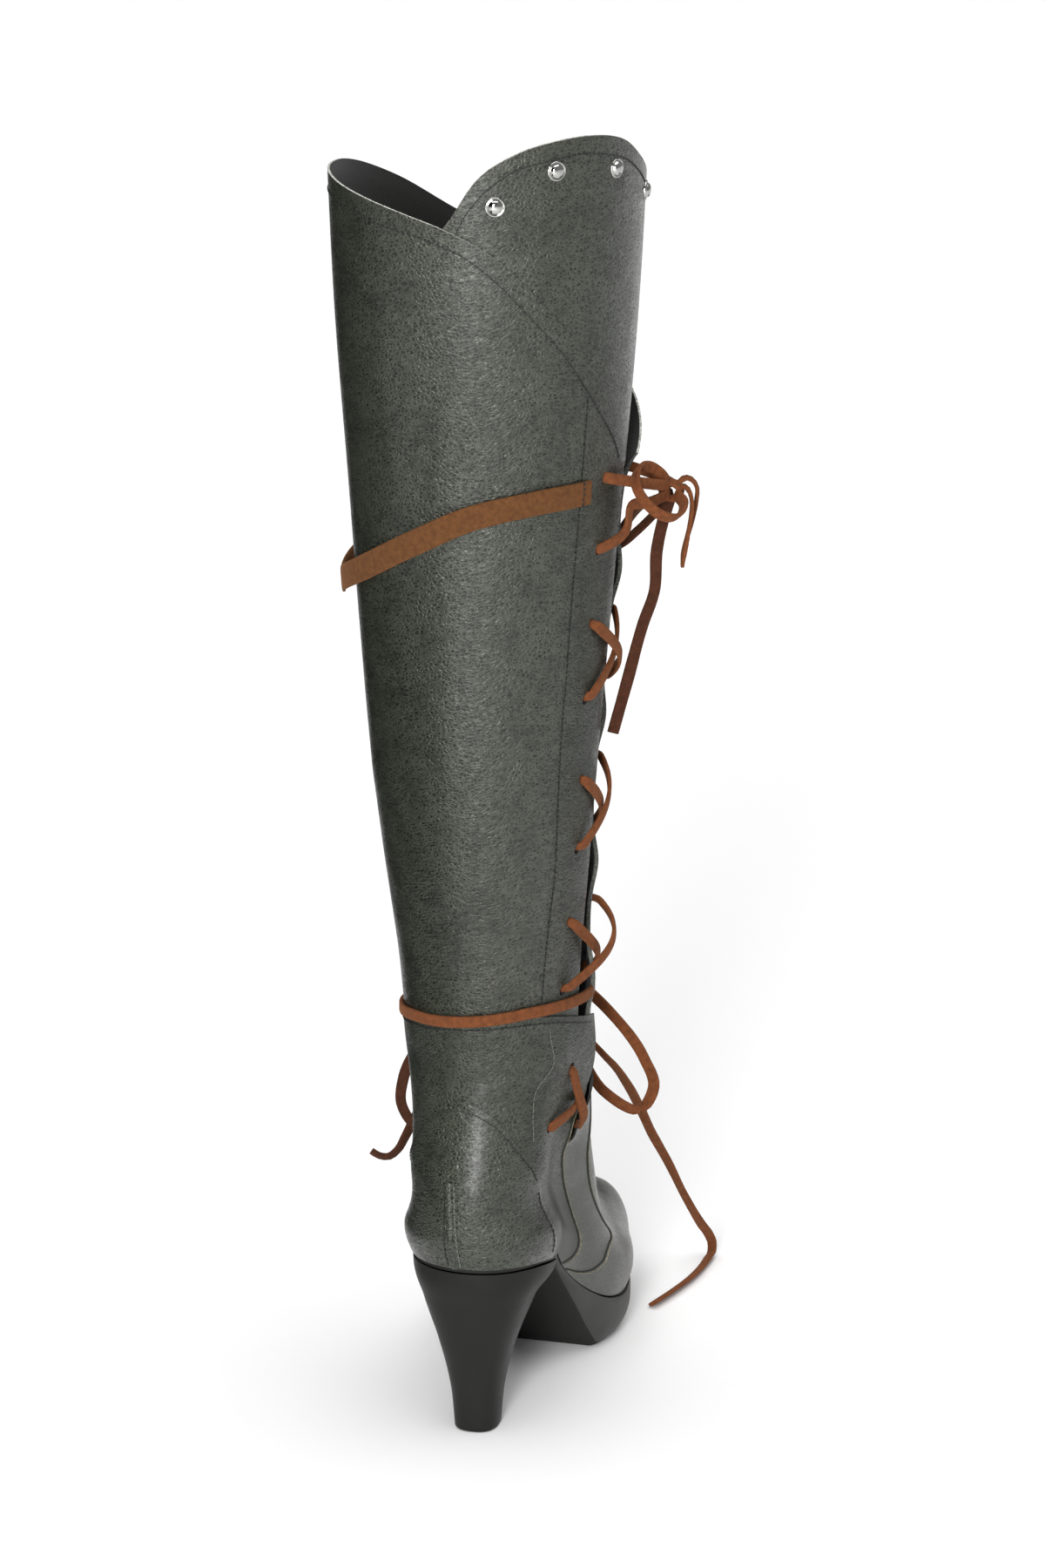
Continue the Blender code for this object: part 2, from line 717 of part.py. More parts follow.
def ribbon(name, path, broad):
    """Flat lace along a path, its broad side held along a direction."""
    path = np.array(path, float)
    ahead = np.gradient(path, axis=0)
    ahead /= np.linalg.norm(ahead, axis=1, keepdims=True)
    broad = np.broadcast_to(np.asarray(broad, float), path.shape)
    across = broad - ahead * np.sum(broad * ahead, axis=1, keepdims=True)
    across /= np.linalg.norm(across, axis=1, keepdims=True)
    face = np.cross(ahead, across)
    half = across * LACE_WIDTH / 2
    deep = face * LACE_THICK / 2
    sections = []
    for point, side, out in zip(path, half, deep):
        sections.append((point - side - out, point + side - out, point + side + out, point - side + out))
    return loft(name, sections, BROWN_SUEDE)


def hole_spot(number, side):
    """Angle and rise of a lace hole; side 1 is the front row and -1 the back row."""
    row = "front" if side > 0 else "back"
    away = float(straight(HOLES, row, number))
    return lateral_spot(SLIT_LINE + side * away, HOLE_TOP - HOLE_PITCH * number)


def strand_path(start, end, bulge):
    """Path over the slit from one hole to another, with the surface's normals."""
    steps = 13
    path = []
    normals = []
    for number in range(steps):
        part = number / (steps - 1)
        angle = mix(start[0], end[0], part)
        rise = mix(start[1], end[1], part)
        lift = LACE_LIFT + bulge * math.sin(math.pi * part)
        path.append(skin_off(angle, rise, lift))
        normals.append(skin_off(angle, rise, 1.0) - skin_off(angle, rise, 0.0))
    return np.array(path), np.array(normals)


def lace_strand(name, start, end, bulge):
    """Flat lace over the slit, its broad side along the surface."""
    path, normals = strand_path(start, end, bulge)
    broad = np.cross(normals, np.gradient(path, axis=0))
    return ribbon(name, path, broad)


def make_crossings():
    """Lace crossings over the slit, each of two joined strands."""
    for name, upper, bulge in CROSSINGS:
        falling = lace_strand(name, hole_spot(upper, -1), hole_spot(upper + 1, 1), bulge + LACE_STACK)
        rising = lace_strand(name + "_helper", hole_spot(upper + 1, -1), hole_spot(upper, 1), bulge)
        join_to(falling, rising)


def make_ankle_wrap():
    """Lace carried round the ankle, from one side of the front knot to the other."""
    angle = np.linspace(90 - ANKLE_WRAP_GAP, ANKLE_WRAP_GAP - 270, 45)
    turn = np.radians(angle)
    lift = ANKLE_WRAP_LIFT * np.clip(0.2 - np.sin(turn), 0, 1)
    height = ANKLE_WRAP_FRONT + lift + ANKLE_WRAP_TILT * np.cos(turn)
    path = skin_off(angle, leg_rise(height), LACE_LIFT)
    ribbon("ankle_wrap", path, (0, 0, 1))


def make_knot(name, centre, size):
    """Tied knot as a rounded lump."""
    shape = bmesh.new()
    stretch = Matrix.Diagonal((*size, 1))
    bmesh.ops.create_uvsphere(shape, u_segments=16, v_segments=10, radius=1, matrix=stretch)
    points = [vertex.co + Vector(centre) for vertex in shape.verts]
    faces = [[vertex.index for vertex in face.verts] for face in shape.faces]
    shape.free()
    return make_object(name, points, faces, BROWN_SUEDE)


def make_free_laces(routes):
    """Loops and tails of a bow."""
    for route in routes:
        length = np.sum(np.linalg.norm(np.diff(np.array(route.points), axis=0), axis=1))
        path = curve_through(route.points, int(length / LACE_SPACING) + 6)
        ribbon(route.name, path, route.broad)


def make_bows():
    """Upper bow with its four strands, and ankle bow."""
    knot = make_knot("upper_bow_knot", UPPER_KNOT, UPPER_KNOT_SIZE)
    for number in (0, 1):
        for side in (-1, 1):
            angle, rise = hole_spot(number, side)
            start = skin_off(angle, rise, KNOT_STRAND_LIFT)
            path = [mix(start, np.array(UPPER_KNOT), part) for part in np.linspace(0, 0.97, 6)]
            join_to(knot, ribbon("strand_helper_%d_%d" % (number, side + 1), path, (0, 0, 1)))
    make_knot("ankle_bow_knot", ANKLE_KNOT, ANKLE_KNOT_SIZE)
    make_free_laces(UPPER_BOW)
    make_free_laces(ANKLE_BOW)


def main():
    """Builds the boot piece by piece."""
    for item in list(bpy.data.objects):
        bpy.data.objects.remove(item)
    make_sole_unit()
    make_insole()
    make_upper()
    make_tongue()
    make_rivets()
    make_band()
    make_crossings()
    make_ankle_wrap()
    make_bows()


main()
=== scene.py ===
"""Looks of the grey over-knee costume boot for the right foot.

Pieces are shaped in the boot's own frame (metres, X towards the little toe, Y forward from the back of
the heel counter, Z up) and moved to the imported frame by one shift. Spots on the leather are given by
an angle round the leg, from the lateral side towards the toe, and a rise: 0 to 1 is the foot from the
feather line to the ankle, 1 to 2 is the leg.
"""

from __future__ import annotations

import logging
import math
from dataclasses import dataclass, field
from enum import Enum
from typing import Any, Iterable, Mapping, Sequence

import bpy
import numpy as np
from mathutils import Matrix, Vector

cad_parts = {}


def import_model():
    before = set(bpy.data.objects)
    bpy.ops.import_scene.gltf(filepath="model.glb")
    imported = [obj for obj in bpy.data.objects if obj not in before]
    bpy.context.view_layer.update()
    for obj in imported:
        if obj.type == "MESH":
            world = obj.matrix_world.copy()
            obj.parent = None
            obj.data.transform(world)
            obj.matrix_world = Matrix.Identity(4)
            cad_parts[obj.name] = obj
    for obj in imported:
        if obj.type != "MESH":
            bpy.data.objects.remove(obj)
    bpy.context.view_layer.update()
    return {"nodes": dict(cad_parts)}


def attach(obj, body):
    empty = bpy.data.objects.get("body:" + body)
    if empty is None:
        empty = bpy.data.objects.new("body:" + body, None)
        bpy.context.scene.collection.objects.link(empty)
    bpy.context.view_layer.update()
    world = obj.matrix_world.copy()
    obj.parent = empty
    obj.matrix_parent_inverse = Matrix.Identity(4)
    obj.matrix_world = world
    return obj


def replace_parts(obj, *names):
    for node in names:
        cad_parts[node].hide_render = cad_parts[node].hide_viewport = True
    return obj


log = logging.getLogger("boot")

MM = 0.001
SHIFT = np.array((0.0017, 0.1036, 0.0))
STRIP_CORNER = 0.45
Array = np.ndarray
Spot = tuple[float, float]
Point = tuple[float, float, float]
Mesh = tuple[Array, list[list[int]]]
Tree = bpy.types.NodeTree
Node = bpy.types.Node
Socket = bpy.types.NodeSocket
Material = bpy.types.Material
Piece = bpy.types.Object


class Slot(Enum):
    """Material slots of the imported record."""

    SOLE = "moulded_sole"
    LINING = "lining_cloth"
    LEATHER = "grey_leather"
    METAL = "rivet_metal"
    SUEDE = "brown_suede"


class Side(Enum):
    """Row of lace holes beside the slit."""

    BACK = -1
    FRONT = 1


# Finishes


def linear(hex_colour: str) -> tuple[float, float, float, float]:
    """Turns an sRGB hex colour to linear light.

    Args:
        hex_colour: colour as "#rrggbb".

    Returns:
        Linear red, green, blue and an alpha of 1.
    """
    parts = [int(hex_colour[at : at + 2], 16) / 255 for at in (1, 3, 5)]
    light = [part / 12.92 if part <= 0.04045 else ((part + 0.055) / 1.055) ** 2.4 for part in parts]
    return light[0], light[1], light[2], 1.0


def scale_for(size_mm: float) -> float:
    """Scale of a texture whose pattern has this real size in millimetres."""
    return 1 / (size_mm * MM)


def feed(tree: Tree, node: Node, inputs: Mapping[str | int, Any]) -> None:
    """Links or sets inputs of a node.

    Args:
        tree: node tree that holds it.
        node: the node.
        inputs: for each input, a socket or a node to link from, or a constant.
    """
    for name, value in inputs.items():
        source = value.outputs[0] if isinstance(value, Node) else value
        if isinstance(source, Socket):
            tree.links.new(source, node.inputs[name])
        else:
            node.inputs[name].default_value = source


def add_node(tree: Tree, kind: str, inputs: Mapping[str | int, Any] | None = None, **settings: Any) -> Node:
    """Adds a shader node, sets it up and links it.

    Args:
        tree: node tree to add to.
        kind: node type without its ShaderNode prefix.
        inputs: for each input, a socket or a node to link from, or a constant.
        settings: attributes of the node itself.

    Returns:
        The new node.
    """
    node = tree.nodes.new("ShaderNode" + kind)
    for name, value in settings.items():
        setattr(node, name, value)
    feed(tree, node, inputs or {})
    return node


@dataclass(frozen=True)
class Finish:
    """Base of every finish: a Principled surface with constant sockets."""

    name: str
    colour: str
    roughness: float = 0.5
    ior: float = 1.5

    def make(self) -> Material:
        """Makes the material: its constants, and then what its pattern feeds.

        Returns:
            The material.
        """
        material = bpy.data.materials.new(self.name)
        material.use_nodes = True
        tree = material.node_tree
        shader = tree.nodes["Principled BSDF"]
        feed(tree, shader, {"Base Color": linear(self.colour), "Roughness": self.roughness, "IOR": self.ior})
        feed(tree, shader, self.pattern(tree, add_node(tree, "TexCoord").outputs["Object"]))
        return material

    def pattern(self, tree: Tree, place: Socket) -> dict[str, Any]:
        """Adds the finish's own nodes.

        Args:
            tree: node tree of the material.
            place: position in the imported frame.

        Returns:
            Inputs of the surface.
        """
        return {}


@dataclass(frozen=True)
class EmbossedLeather(Finish):
    """Polyurethane leather, embossed with a wrinkled grain and satin finished.

    The eye sees small pits in a net of fine, softly shining ridges, drawn out across the leg; the pits are
    painted darker, a painted shade.
    """

    pit_shade_colour: str = "#20221e"
    grain_mm: float = 2.1
    flatten: float = 1.55
    slant: float = 0.22
    drift_mm: float = 9.0
    drift_grains: float = 1.5
    fold_grains: float = 3.4
    fold_flatten: float = 2.6
    wrinkle: float = 0.45
    patch_mm: float = 16.0
    relief_mm: float = 0.34
    mean_height: float = 0.55
    coat: float = 0.52
    dull: float = 0.40
    shine: float = 0.43
    calm_mm: tuple[float, float] | None = None

    def pattern(self, tree: Tree, place: Socket) -> dict[str, Any]:
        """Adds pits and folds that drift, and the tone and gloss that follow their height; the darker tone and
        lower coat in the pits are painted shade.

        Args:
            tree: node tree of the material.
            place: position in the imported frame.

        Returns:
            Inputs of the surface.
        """
        grain = self.grain_mm
        drift = add_node(tree, "TexNoise", {"Vector": place, "Scale": scale_for(self.drift_mm), "Detail": 1.0})
        middle = (0.5, 0.5, 0.5)
        centred = add_node(tree, "VectorMath", {0: drift.outputs["Color"], 1: middle}, operation="SUBTRACT")
        swing = add_node(
            tree, "VectorMath", {0: centred, "Scale": self.drift_grains * grain * MM}, operation="SCALE"
        )
        moved = add_node(tree, "VectorMath", {0: place, 1: swing}, operation="ADD")
        slant = add_node(tree, "VectorRotate", {"Vector": moved, "Angle": self.slant}, rotation_type="Y_AXIS")
        flat = add_node(tree, "VectorMath", {0: slant, 1: (1, 1, self.flatten)}, operation="MULTIPLY")
        pit = add_node(
            tree, "TexVoronoi", {"Vector": flat, "Scale": scale_for(grain)}, feature="DISTANCE_TO_EDGE"
        )
        net = add_node(
            tree,
            "MapRange",
            {"Value": pit, "From Max": 0.38, "To Min": 1.0, "To Max": 0.0},
            interpolation_type="SMOOTHSTEP",
        )
        long = add_node(tree, "VectorMath", {0: flat, 1: (1, 1, self.fold_flatten)}, operation="MULTIPLY")
        fold = add_node(
            tree, "TexNoise", {"Vector": long, "Scale": scale_for(self.fold_grains * grain), "Detail": 2.5}
        )
        aside = add_node(tree, "Math", {0: fold, 1: 0.5}, operation="SUBTRACT")
        line = add_node(tree, "Math", {0: aside}, operation="ABSOLUTE")
        ridge = add_node(
            tree,
            "MapRange",
            {"Value": line, "From Max": 0.10, "To Min": self.wrinkle, "To Max": 0.0},
            interpolation_type="SMOOTHSTEP",
        )
        patch = add_node(tree, "TexNoise", {"Vector": place, "Scale": scale_for(self.patch_mm), "Detail": 3.0})
        reach = add_node(
            tree, "MapRange", {"Value": patch, "From Min": 0.35, "From Max": 0.65, "To Min": 0.45}
        )
        coarse = add_node(tree, "Math", {0: net, 1: reach}, operation="MULTIPLY")
        height = add_node(tree, "Math", {0: coarse, 1: ridge}, operation="ADD")
        if self.calm_mm:
            height = self.calmed(tree, place, height)
        bump = add_node(tree, "Bump", {"Height": height, "Strength": 1.0, "Distance": self.relief_mm * MM})
        # Painted shade: the pits are coloured towards the dark pit colour and get less coat, standing in for
        # the shade that falls in them.
        tone = add_node(tree, "MapRange", {"Value": height, "From Max": 1.1})
        colour = add_node(
            tree, "Mix", {0: tone, 6: linear(self.pit_shade_colour), 7: linear(self.colour)}, data_type="RGBA"
        )
        rough = add_node(
            tree,
            "MapRange",
            {"Value": tone, "To Min": self.roughness + 0.12, "To Max": self.roughness - 0.08},
        )
        gloss = add_node(
            tree, "MapRange", {"Value": tone, "To Min": self.coat * self.dull, "To Max": self.coat}
        )
        return {
            "Base Color": colour.outputs[2],
            "Roughness": rough,
            "Normal": bump,
            "Coat Weight": gloss,
            "Specular IOR Level": self.shine,
            "Specular Tint": linear("#fafcf2"),
            "Coat Roughness": 0.3,
        }

    def calmed(self, tree: Tree, place: Socket, height: Node) -> Node:
        """Fades the grain out below a height, where the panel was stretched over the last.

        Args:
            tree: node tree of the material.
            place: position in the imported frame.
            height: node with the grain's height.

        Returns:
            The node with the faded height.
        """
        low, high = (edge * MM for edge in self.calm_mm or (0.0, 1.0))
        level = add_node(tree, "SeparateXYZ", {"Vector": place}).outputs["Z"]
        share = add_node(
            tree,
            "MapRange",
            {"Value": level, "From Min": low, "From Max": high},
            interpolation_type="SMOOTHSTEP",
        )
        above = add_node(tree, "Math", {0: height, 1: self.mean_height}, operation="SUBTRACT")
        return add_node(tree, "Math", {0: above, 1: share, 2: self.mean_height}, operation="MULTIPLY_ADD")


@dataclass(frozen=True)
class SuedeLeather(Finish):
    """Split cowhide suede, buffed to a short nap.

    The eye sees a dull brown with soft light and dark patches where the nap lies differently. The nap is
    drawn coarser than its fibres, so that it shows.
    """

    dark: str = "#4f2a16"
    nap_mm: float = 0.55
    patch_mm: float = 4.0

    def pattern(self, tree: Tree, place: Socket) -> dict[str, Any]:
        """Adds the nap and its patches.

        Args:
            tree: node tree of the material.
            place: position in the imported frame.

        Returns:
            Inputs of the surface.
        """
        nap = add_node(tree, "TexNoise", {"Vector": place, "Scale": scale_for(self.nap_mm), "Detail": 4.0})
        patch = add_node(tree, "TexNoise", {"Vector": place, "Scale": scale_for(self.patch_mm), "Detail": 3.0})
        both = add_node(tree, "Math", {0: nap, 1: 0.6, 2: patch}, operation="MULTIPLY_ADD")
        share = add_node(tree, "MapRange", {"Value": both, "From Min": 0.45, "From Max": 1.05})
        colour = add_node(
            tree, "Mix", {0: share, 6: linear(self.dark), 7: linear(self.colour)}, data_type="RGBA"
        )
        return {
            "Base Color": colour.outputs[2],
            "Normal": add_node(tree, "Bump", {"Height": nap, "Strength": 0.6, "Distance": 0.35 * MM}),
            "Sheen Weight": 0.18,
            "Sheen Roughness": 0.45,
            "Sheen Tint": linear("#c58a5c"),
            "Specular IOR Level": 0.2,
        }


@dataclass(frozen=True)
class MouldedSoling(Finish):
    """Polyurethane soling, moulded in one piece with a satin skin.

    The eye sees a dark grey with a broad soft shine, painted paler towards the toe as a painted reflection.
    """

    front_reflection: str = "#454542"
    front_reflection_mm: tuple[float, float] = (-52.0, 12.0)
    texture_mm: float = 0.8
    cloud_mm: float = 14.0

    def pattern(self, tree: Tree, place: Socket) -> dict[str, Any]:
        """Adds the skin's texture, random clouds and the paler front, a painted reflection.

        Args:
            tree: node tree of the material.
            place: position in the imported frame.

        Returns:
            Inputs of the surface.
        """
        skin = add_node(tree, "TexNoise", {"Vector": place, "Scale": scale_for(self.texture_mm), "Detail": 3.0})
        cloud = add_node(tree, "TexNoise", {"Vector": place, "Scale": scale_for(self.cloud_mm), "Detail": 4.0})
        along = add_node(tree, "SeparateXYZ", {"Vector": place}).outputs["Y"]
        # Painted reflection: the soling turns paler towards the front, broken up by random clouds.
        low, high = (edge * MM for edge in self.front_reflection_mm)
        fore = add_node(
            tree,
            "MapRange",
            {"Value": along, "From Min": low, "From Max": high, "To Min": 0.08},
            interpolation_type="SMOOTHSTEP",
        )
        patchy = add_node(
            tree, "MapRange", {"Value": cloud, "From Min": 0.30, "From Max": 0.75, "To Min": 0.6}
        )
        share = add_node(tree, "Math", {0: fore, 1: patchy}, operation="MULTIPLY")
        colour = add_node(
            tree, "Mix", {0: share, 6: linear(self.colour), 7: linear(self.front_reflection)}, data_type="RGBA"
        )
        smoothest, dullest = self.roughness - 0.10, self.roughness + 0.12
        return {
            "Base Color": colour.outputs[2],
            "Roughness": add_node(tree, "MapRange", {"Value": cloud, "To Min": smoothest, "To Max": dullest}),
            "Normal": add_node(tree, "Bump", {"Height": skin, "Strength": 0.18, "Distance": 0.2 * MM}),
            "Specular IOR Level": 0.2,
        }


@dataclass(frozen=True)
class TwillLining(Finish):
    """Black cotton twill lining. The eye sees near black with a faint slanting rib, drawn coarse to show."""

    rib_mm: float = 1.2

    def pattern(self, tree: Tree, place: Socket) -> dict[str, Any]:
        """Adds the slanting rib.

        Args:
            tree: node tree of the material.
            place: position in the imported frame.

        Returns:
            Inputs of the surface.
        """
        rib = add_node(
            tree,
            "TexWave",
            {"Vector": place, "Scale": scale_for(self.rib_mm) / 3.2, "Distortion": 0.6},
            bands_direction="DIAGONAL",
        ).outputs["Fac"]
        return {
            "Normal": add_node(tree, "Bump", {"Height": rib, "Strength": 0.3, "Distance": 0.2 * MM}),
            "Sheen Weight": 0.15,
        }


@dataclass(frozen=True)
class RawEdge(Finish):
    """Cut edge of coated fabric. The eye sees its backing with short fibres, drawn coarse to show."""

    dark: str = "#6f706a"
    fibre_mm: float = 0.9

    def pattern(self, tree: Tree, place: Socket) -> dict[str, Any]:
        """Adds light and dark fibres.

        Args:
            tree: node tree of the material.
            place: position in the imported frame.

        Returns:
            Inputs of the surface.
        """
        fibre = add_node(tree, "TexNoise", {"Vector": place, "Scale": scale_for(self.fibre_mm), "Detail": 4.0})
        share = add_node(tree, "MapRange", {"Value": fibre, "From Min": 0.35, "From Max": 0.6})
        colour = add_node(
            tree, "Mix", {0: share, 6: linear(self.dark), 7: linear(self.colour)}, data_type="RGBA"
        )
        return {"Base Color": colour.outputs[2]}


@dataclass(frozen=True)
class ChromedBrass(Finish):
    """Brass pressed to a dome and chromed. The eye sees a mirror with hairline rubbing."""

    rub_mm: float = 1.5

    def pattern(self, tree: Tree, place: Socket) -> dict[str, Any]:
        """Adds the rubbing.

        Args:
            tree: node tree of the material.
            place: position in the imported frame.

        Returns:
            Inputs of the surface.
        """
        rub = add_node(tree, "TexNoise", {"Vector": place, "Scale": scale_for(self.rub_mm), "Detail": 3.0})
        rough = add_node(
            tree, "MapRange", {"Value": rub, "To Min": self.roughness, "To Max": self.roughness + 0.10}
        )
        return {"Roughness": rough, "Metallic": 1.0}


@dataclass(frozen=True)
class TwistedThread(Finish):
    """Bonded polyester sewing thread. The eye sees dark dashes with a dull lustre."""

    twist_mm: float = 0.3

    def pattern(self, tree: Tree, place: Socket) -> dict[str, Any]:
        """Adds the twist.

        Args:
            tree: node tree of the material.
            place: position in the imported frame.

        Returns:
            Inputs of the surface.
        """
        twist = add_node(tree, "TexNoise", {"Vector": place, "Scale": scale_for(self.twist_mm), "Detail": 2.0})
        return {"Normal": add_node(tree, "Bump", {"Height": twist, "Strength": 0.4, "Distance": 0.1 * MM})}


@dataclass(frozen=True)
class PaperSweep(Finish):
    """White background paper. The eye sees an even matt white that glows a little towards the back, a painted
    light.
    """

    away: Point = (-0.309, 0.951, 0.0)
    glow: float = 0.16

    def pattern(self, tree: Tree, place: Socket) -> dict[str, Any]:
        """Adds the glow.

        Args:
            tree: node tree of the material.
            place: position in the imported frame.

        Returns:
            Inputs of the surface.
        """
        # Painted light: the floor glows brighter towards the back.
        behind = add_node(tree, "VectorMath", {0: place, 1: self.away}, operation="DOT_PRODUCT")
        glow = add_node(
            tree,
            "MapRange",
            {"Value": behind.outputs["Value"], "From Min": -0.4, "From Max": 1.6, "To Max": self.glow},
            interpolation_type="SMOOTHSTEP",
        )
        return {"Emission Strength": glow, "Emission Color": (1, 1, 1, 1), "Specular IOR Level": 0.1}


class Palette:
    """Finishes of the whole boot, made once."""

    def __init__(self) -> None:
        """Makes every finish."""
        # Each leather's pit colour is painted shade in the grain's pits.
        self.grained = EmbossedLeather("grained_pu_leather", "#373a31", 0.36, pit_shade_colour="#0d0f0b").make()
        self.stretched = EmbossedLeather(
            "stretched_pu_leather", "#383b33", 0.46, pit_shade_colour="#161812", coat=0.3, calm_mm=(82.0, 128.0)
        ).make()
        self.smooth = EmbossedLeather(
            "smooth_pu_leather",
            "#383a33",
            0.42,
            pit_shade_colour="#2c2e28",
            grain_mm=1.2,
            flatten=1.1,
            relief_mm=0.10,
            wrinkle=0.3,
            coat=0.6,
            dull=0.7,
        ).make()
        # The soling's paler front is a painted reflection.
        self.soling = MouldedSoling("moulded_pu_soling", "#161614", 0.46).make()
        # Underside faces keep a dark front: painted shade under the platform.
        self.shaded_underside = MouldedSoling("shaded_pu_underside", "#1a1a19", 0.6, front_reflection="#222221").make()
        self.lining = TwillLining("black_twill_lining", "#161614", 0.9).make()
        self.edge = RawEdge("pale_cut_edge", "#d6d6cf", 0.9).make()
        self.beige_edge = RawEdge("beige_edge_hairline", "#8f8a72", 0.9, dark="#5c584a").make()
        self.grey_edge = RawEdge("grey_cut_edge", "#6d6e67", 0.9, dark="#3d3e39").make()
        self.dark_edge = RawEdge("inked_edge_and_shadow_line", "#2a2b26", 0.8, dark="#1b1c19").make()
        self.suede = SuedeLeather("brown_suede_lace", "#784528", 0.95, dark="#53301b", patch_mm=2.6).make()
        # Darker copy of the lace suede: painted shade on laces that hang in shade.
        self.shaded_suede = SuedeLeather(
            "shaded_suede_lace", "#4b2b1d", 0.95, dark="#341d11", patch_mm=2.6
        ).make()
        self.band = SuedeLeather("tan_suede_strap", "#664224", 0.95, dark="#4b2e1a", patch_mm=2.2).make()
        self.chrome = ChromedBrass("chromed_brass", "#b4b4b0", 0.06).make()
        self.thread = TwistedThread("dark_sewing_thread", "#1b1c19", 0.7).make()
        # Paler thread stands in for light glinting on the stitches: a painted highlight.
        self.glinting_thread = TwistedThread("glinting_sewing_thread", "#666761", 0.6).make()


# Boot form


@dataclass(frozen=True)
class Table:
    """Short table of sizes, read between its rows; the first column is the key."""

    columns: tuple[str, ...]
    rows: tuple[tuple[float, ...], ...]

    def pair(self, column: str) -> tuple[Array, Array]:
        """Keys and one column's values.

        Args:
            column: name of the column.

        Returns:
            Keys and values.
        """
        data = np.array(self.rows, float)
        return data[:, 0], data[:, self.columns.index(column)]

    def curve(self, column: str, at: Any) -> Array:
        """Reads a column along a smooth curve.

        Args:
            column: name of the column.
            at: keys to read at.

        Returns:
            Values.
        """
        keys, values = self.pair(column)
        return curve_values(keys, values, np.clip(np.asarray(at, float), keys[0], keys[-1]))

    def line(self, column: str, at: Any) -> Array:
        """Reads a column along straight lines.

        Args:
            column: name of the column.
            at: keys to read at.

        Returns:
            Values.
        """
        return np.interp(at, *self.pair(column))


def curve_values(keys: Array, values: Array, at: Array) -> Array:
    """Smooth curve through values at keys.

    Args:
        keys: rising keys.
        values: values, or points in rows.
        at: where to read, inside the keys.

    Returns:
        Values at those places.
    """
    slopes = np.gradient(values, keys, axis=0)
    low = np.clip(np.searchsorted(keys, at, side="right") - 1, 0, len(keys) - 2)
    span = keys[low + 1] - keys[low]
    part = (at - keys[low]) / span
    if values.ndim > 1:
        span, part = span[..., None], part[..., None]
    start = (1 + 2 * part) * (1 - part) ** 2 * values[low] + part * (1 - part) ** 2 * span * slopes[low]
    end = part**2 * (3 - 2 * part) * values[low + 1] - part**2 * (1 - part) * span * slopes[low + 1]
    return start + end


def curve_through(points: Sequence[Sequence[float]], count: int) -> Array:
    """Points at even steps on a smooth curve.

    Args:
        points: points to pass through.
        count: number of points wanted.

    Returns:
        Points in rows.
    """
    route = np.array(points, float)
    length = travelled(route)
    return even_steps(curve_values(length, route, np.linspace(0, length[-1], 8 * count)), count)


def travelled(path: Array) -> Array:
    """Distance travelled at each point of a path."""
    return np.concatenate([[0], np.cumsum(np.linalg.norm(np.diff(path, axis=0), axis=1))])


def read_along(at: Array, length: Array, rows: Array) -> Array:
    """Reads rows of values at distances along a path.

    Args:
        at: distances to read at.
        length: distance of each row.
        rows: values in rows.

    Returns:
        Values in rows.
    """
    return np.stack([np.interp(at, length, column) for column in rows.T], -1)


def even_steps(path: Array, count: int) -> Array:
    """Points at even distances along a path.

    Args:
        path: points of the path.
        count: number of points wanted.

    Returns:
        Points in rows.
    """
    length = travelled(path)
    return read_along(np.linspace(0, length[-1], count), length, path)


def mix(first: Any, second: Any, part: Any) -> Any:
    """Goes from the first value to the second."""
    return first + (second - first) * part


def ease(part: Any) -> Array:
    """Smooth step from 0 to 1."""
    part = np.clip(part, 0, 1)
    return part * part * (3 - 2 * part)


def unit(vectors: Array) -> Array:
    """Vectors of length 1."""
    return vectors / np.linalg.norm(vectors, axis=-1, keepdims=True)


def squarish(value: Array, power: float) -> Array:
    """Cosine or sine bent so that a circle turns into a rounded square."""
    return np.sign(value) * np.abs(value) ** power


@dataclass(frozen=True)
class Crease:
    """Soft trough (depth below 0) or ridge along a line of spots on the leather."""

    spots: tuple[Spot, ...]
    width_mm: float
    depth_mm: float


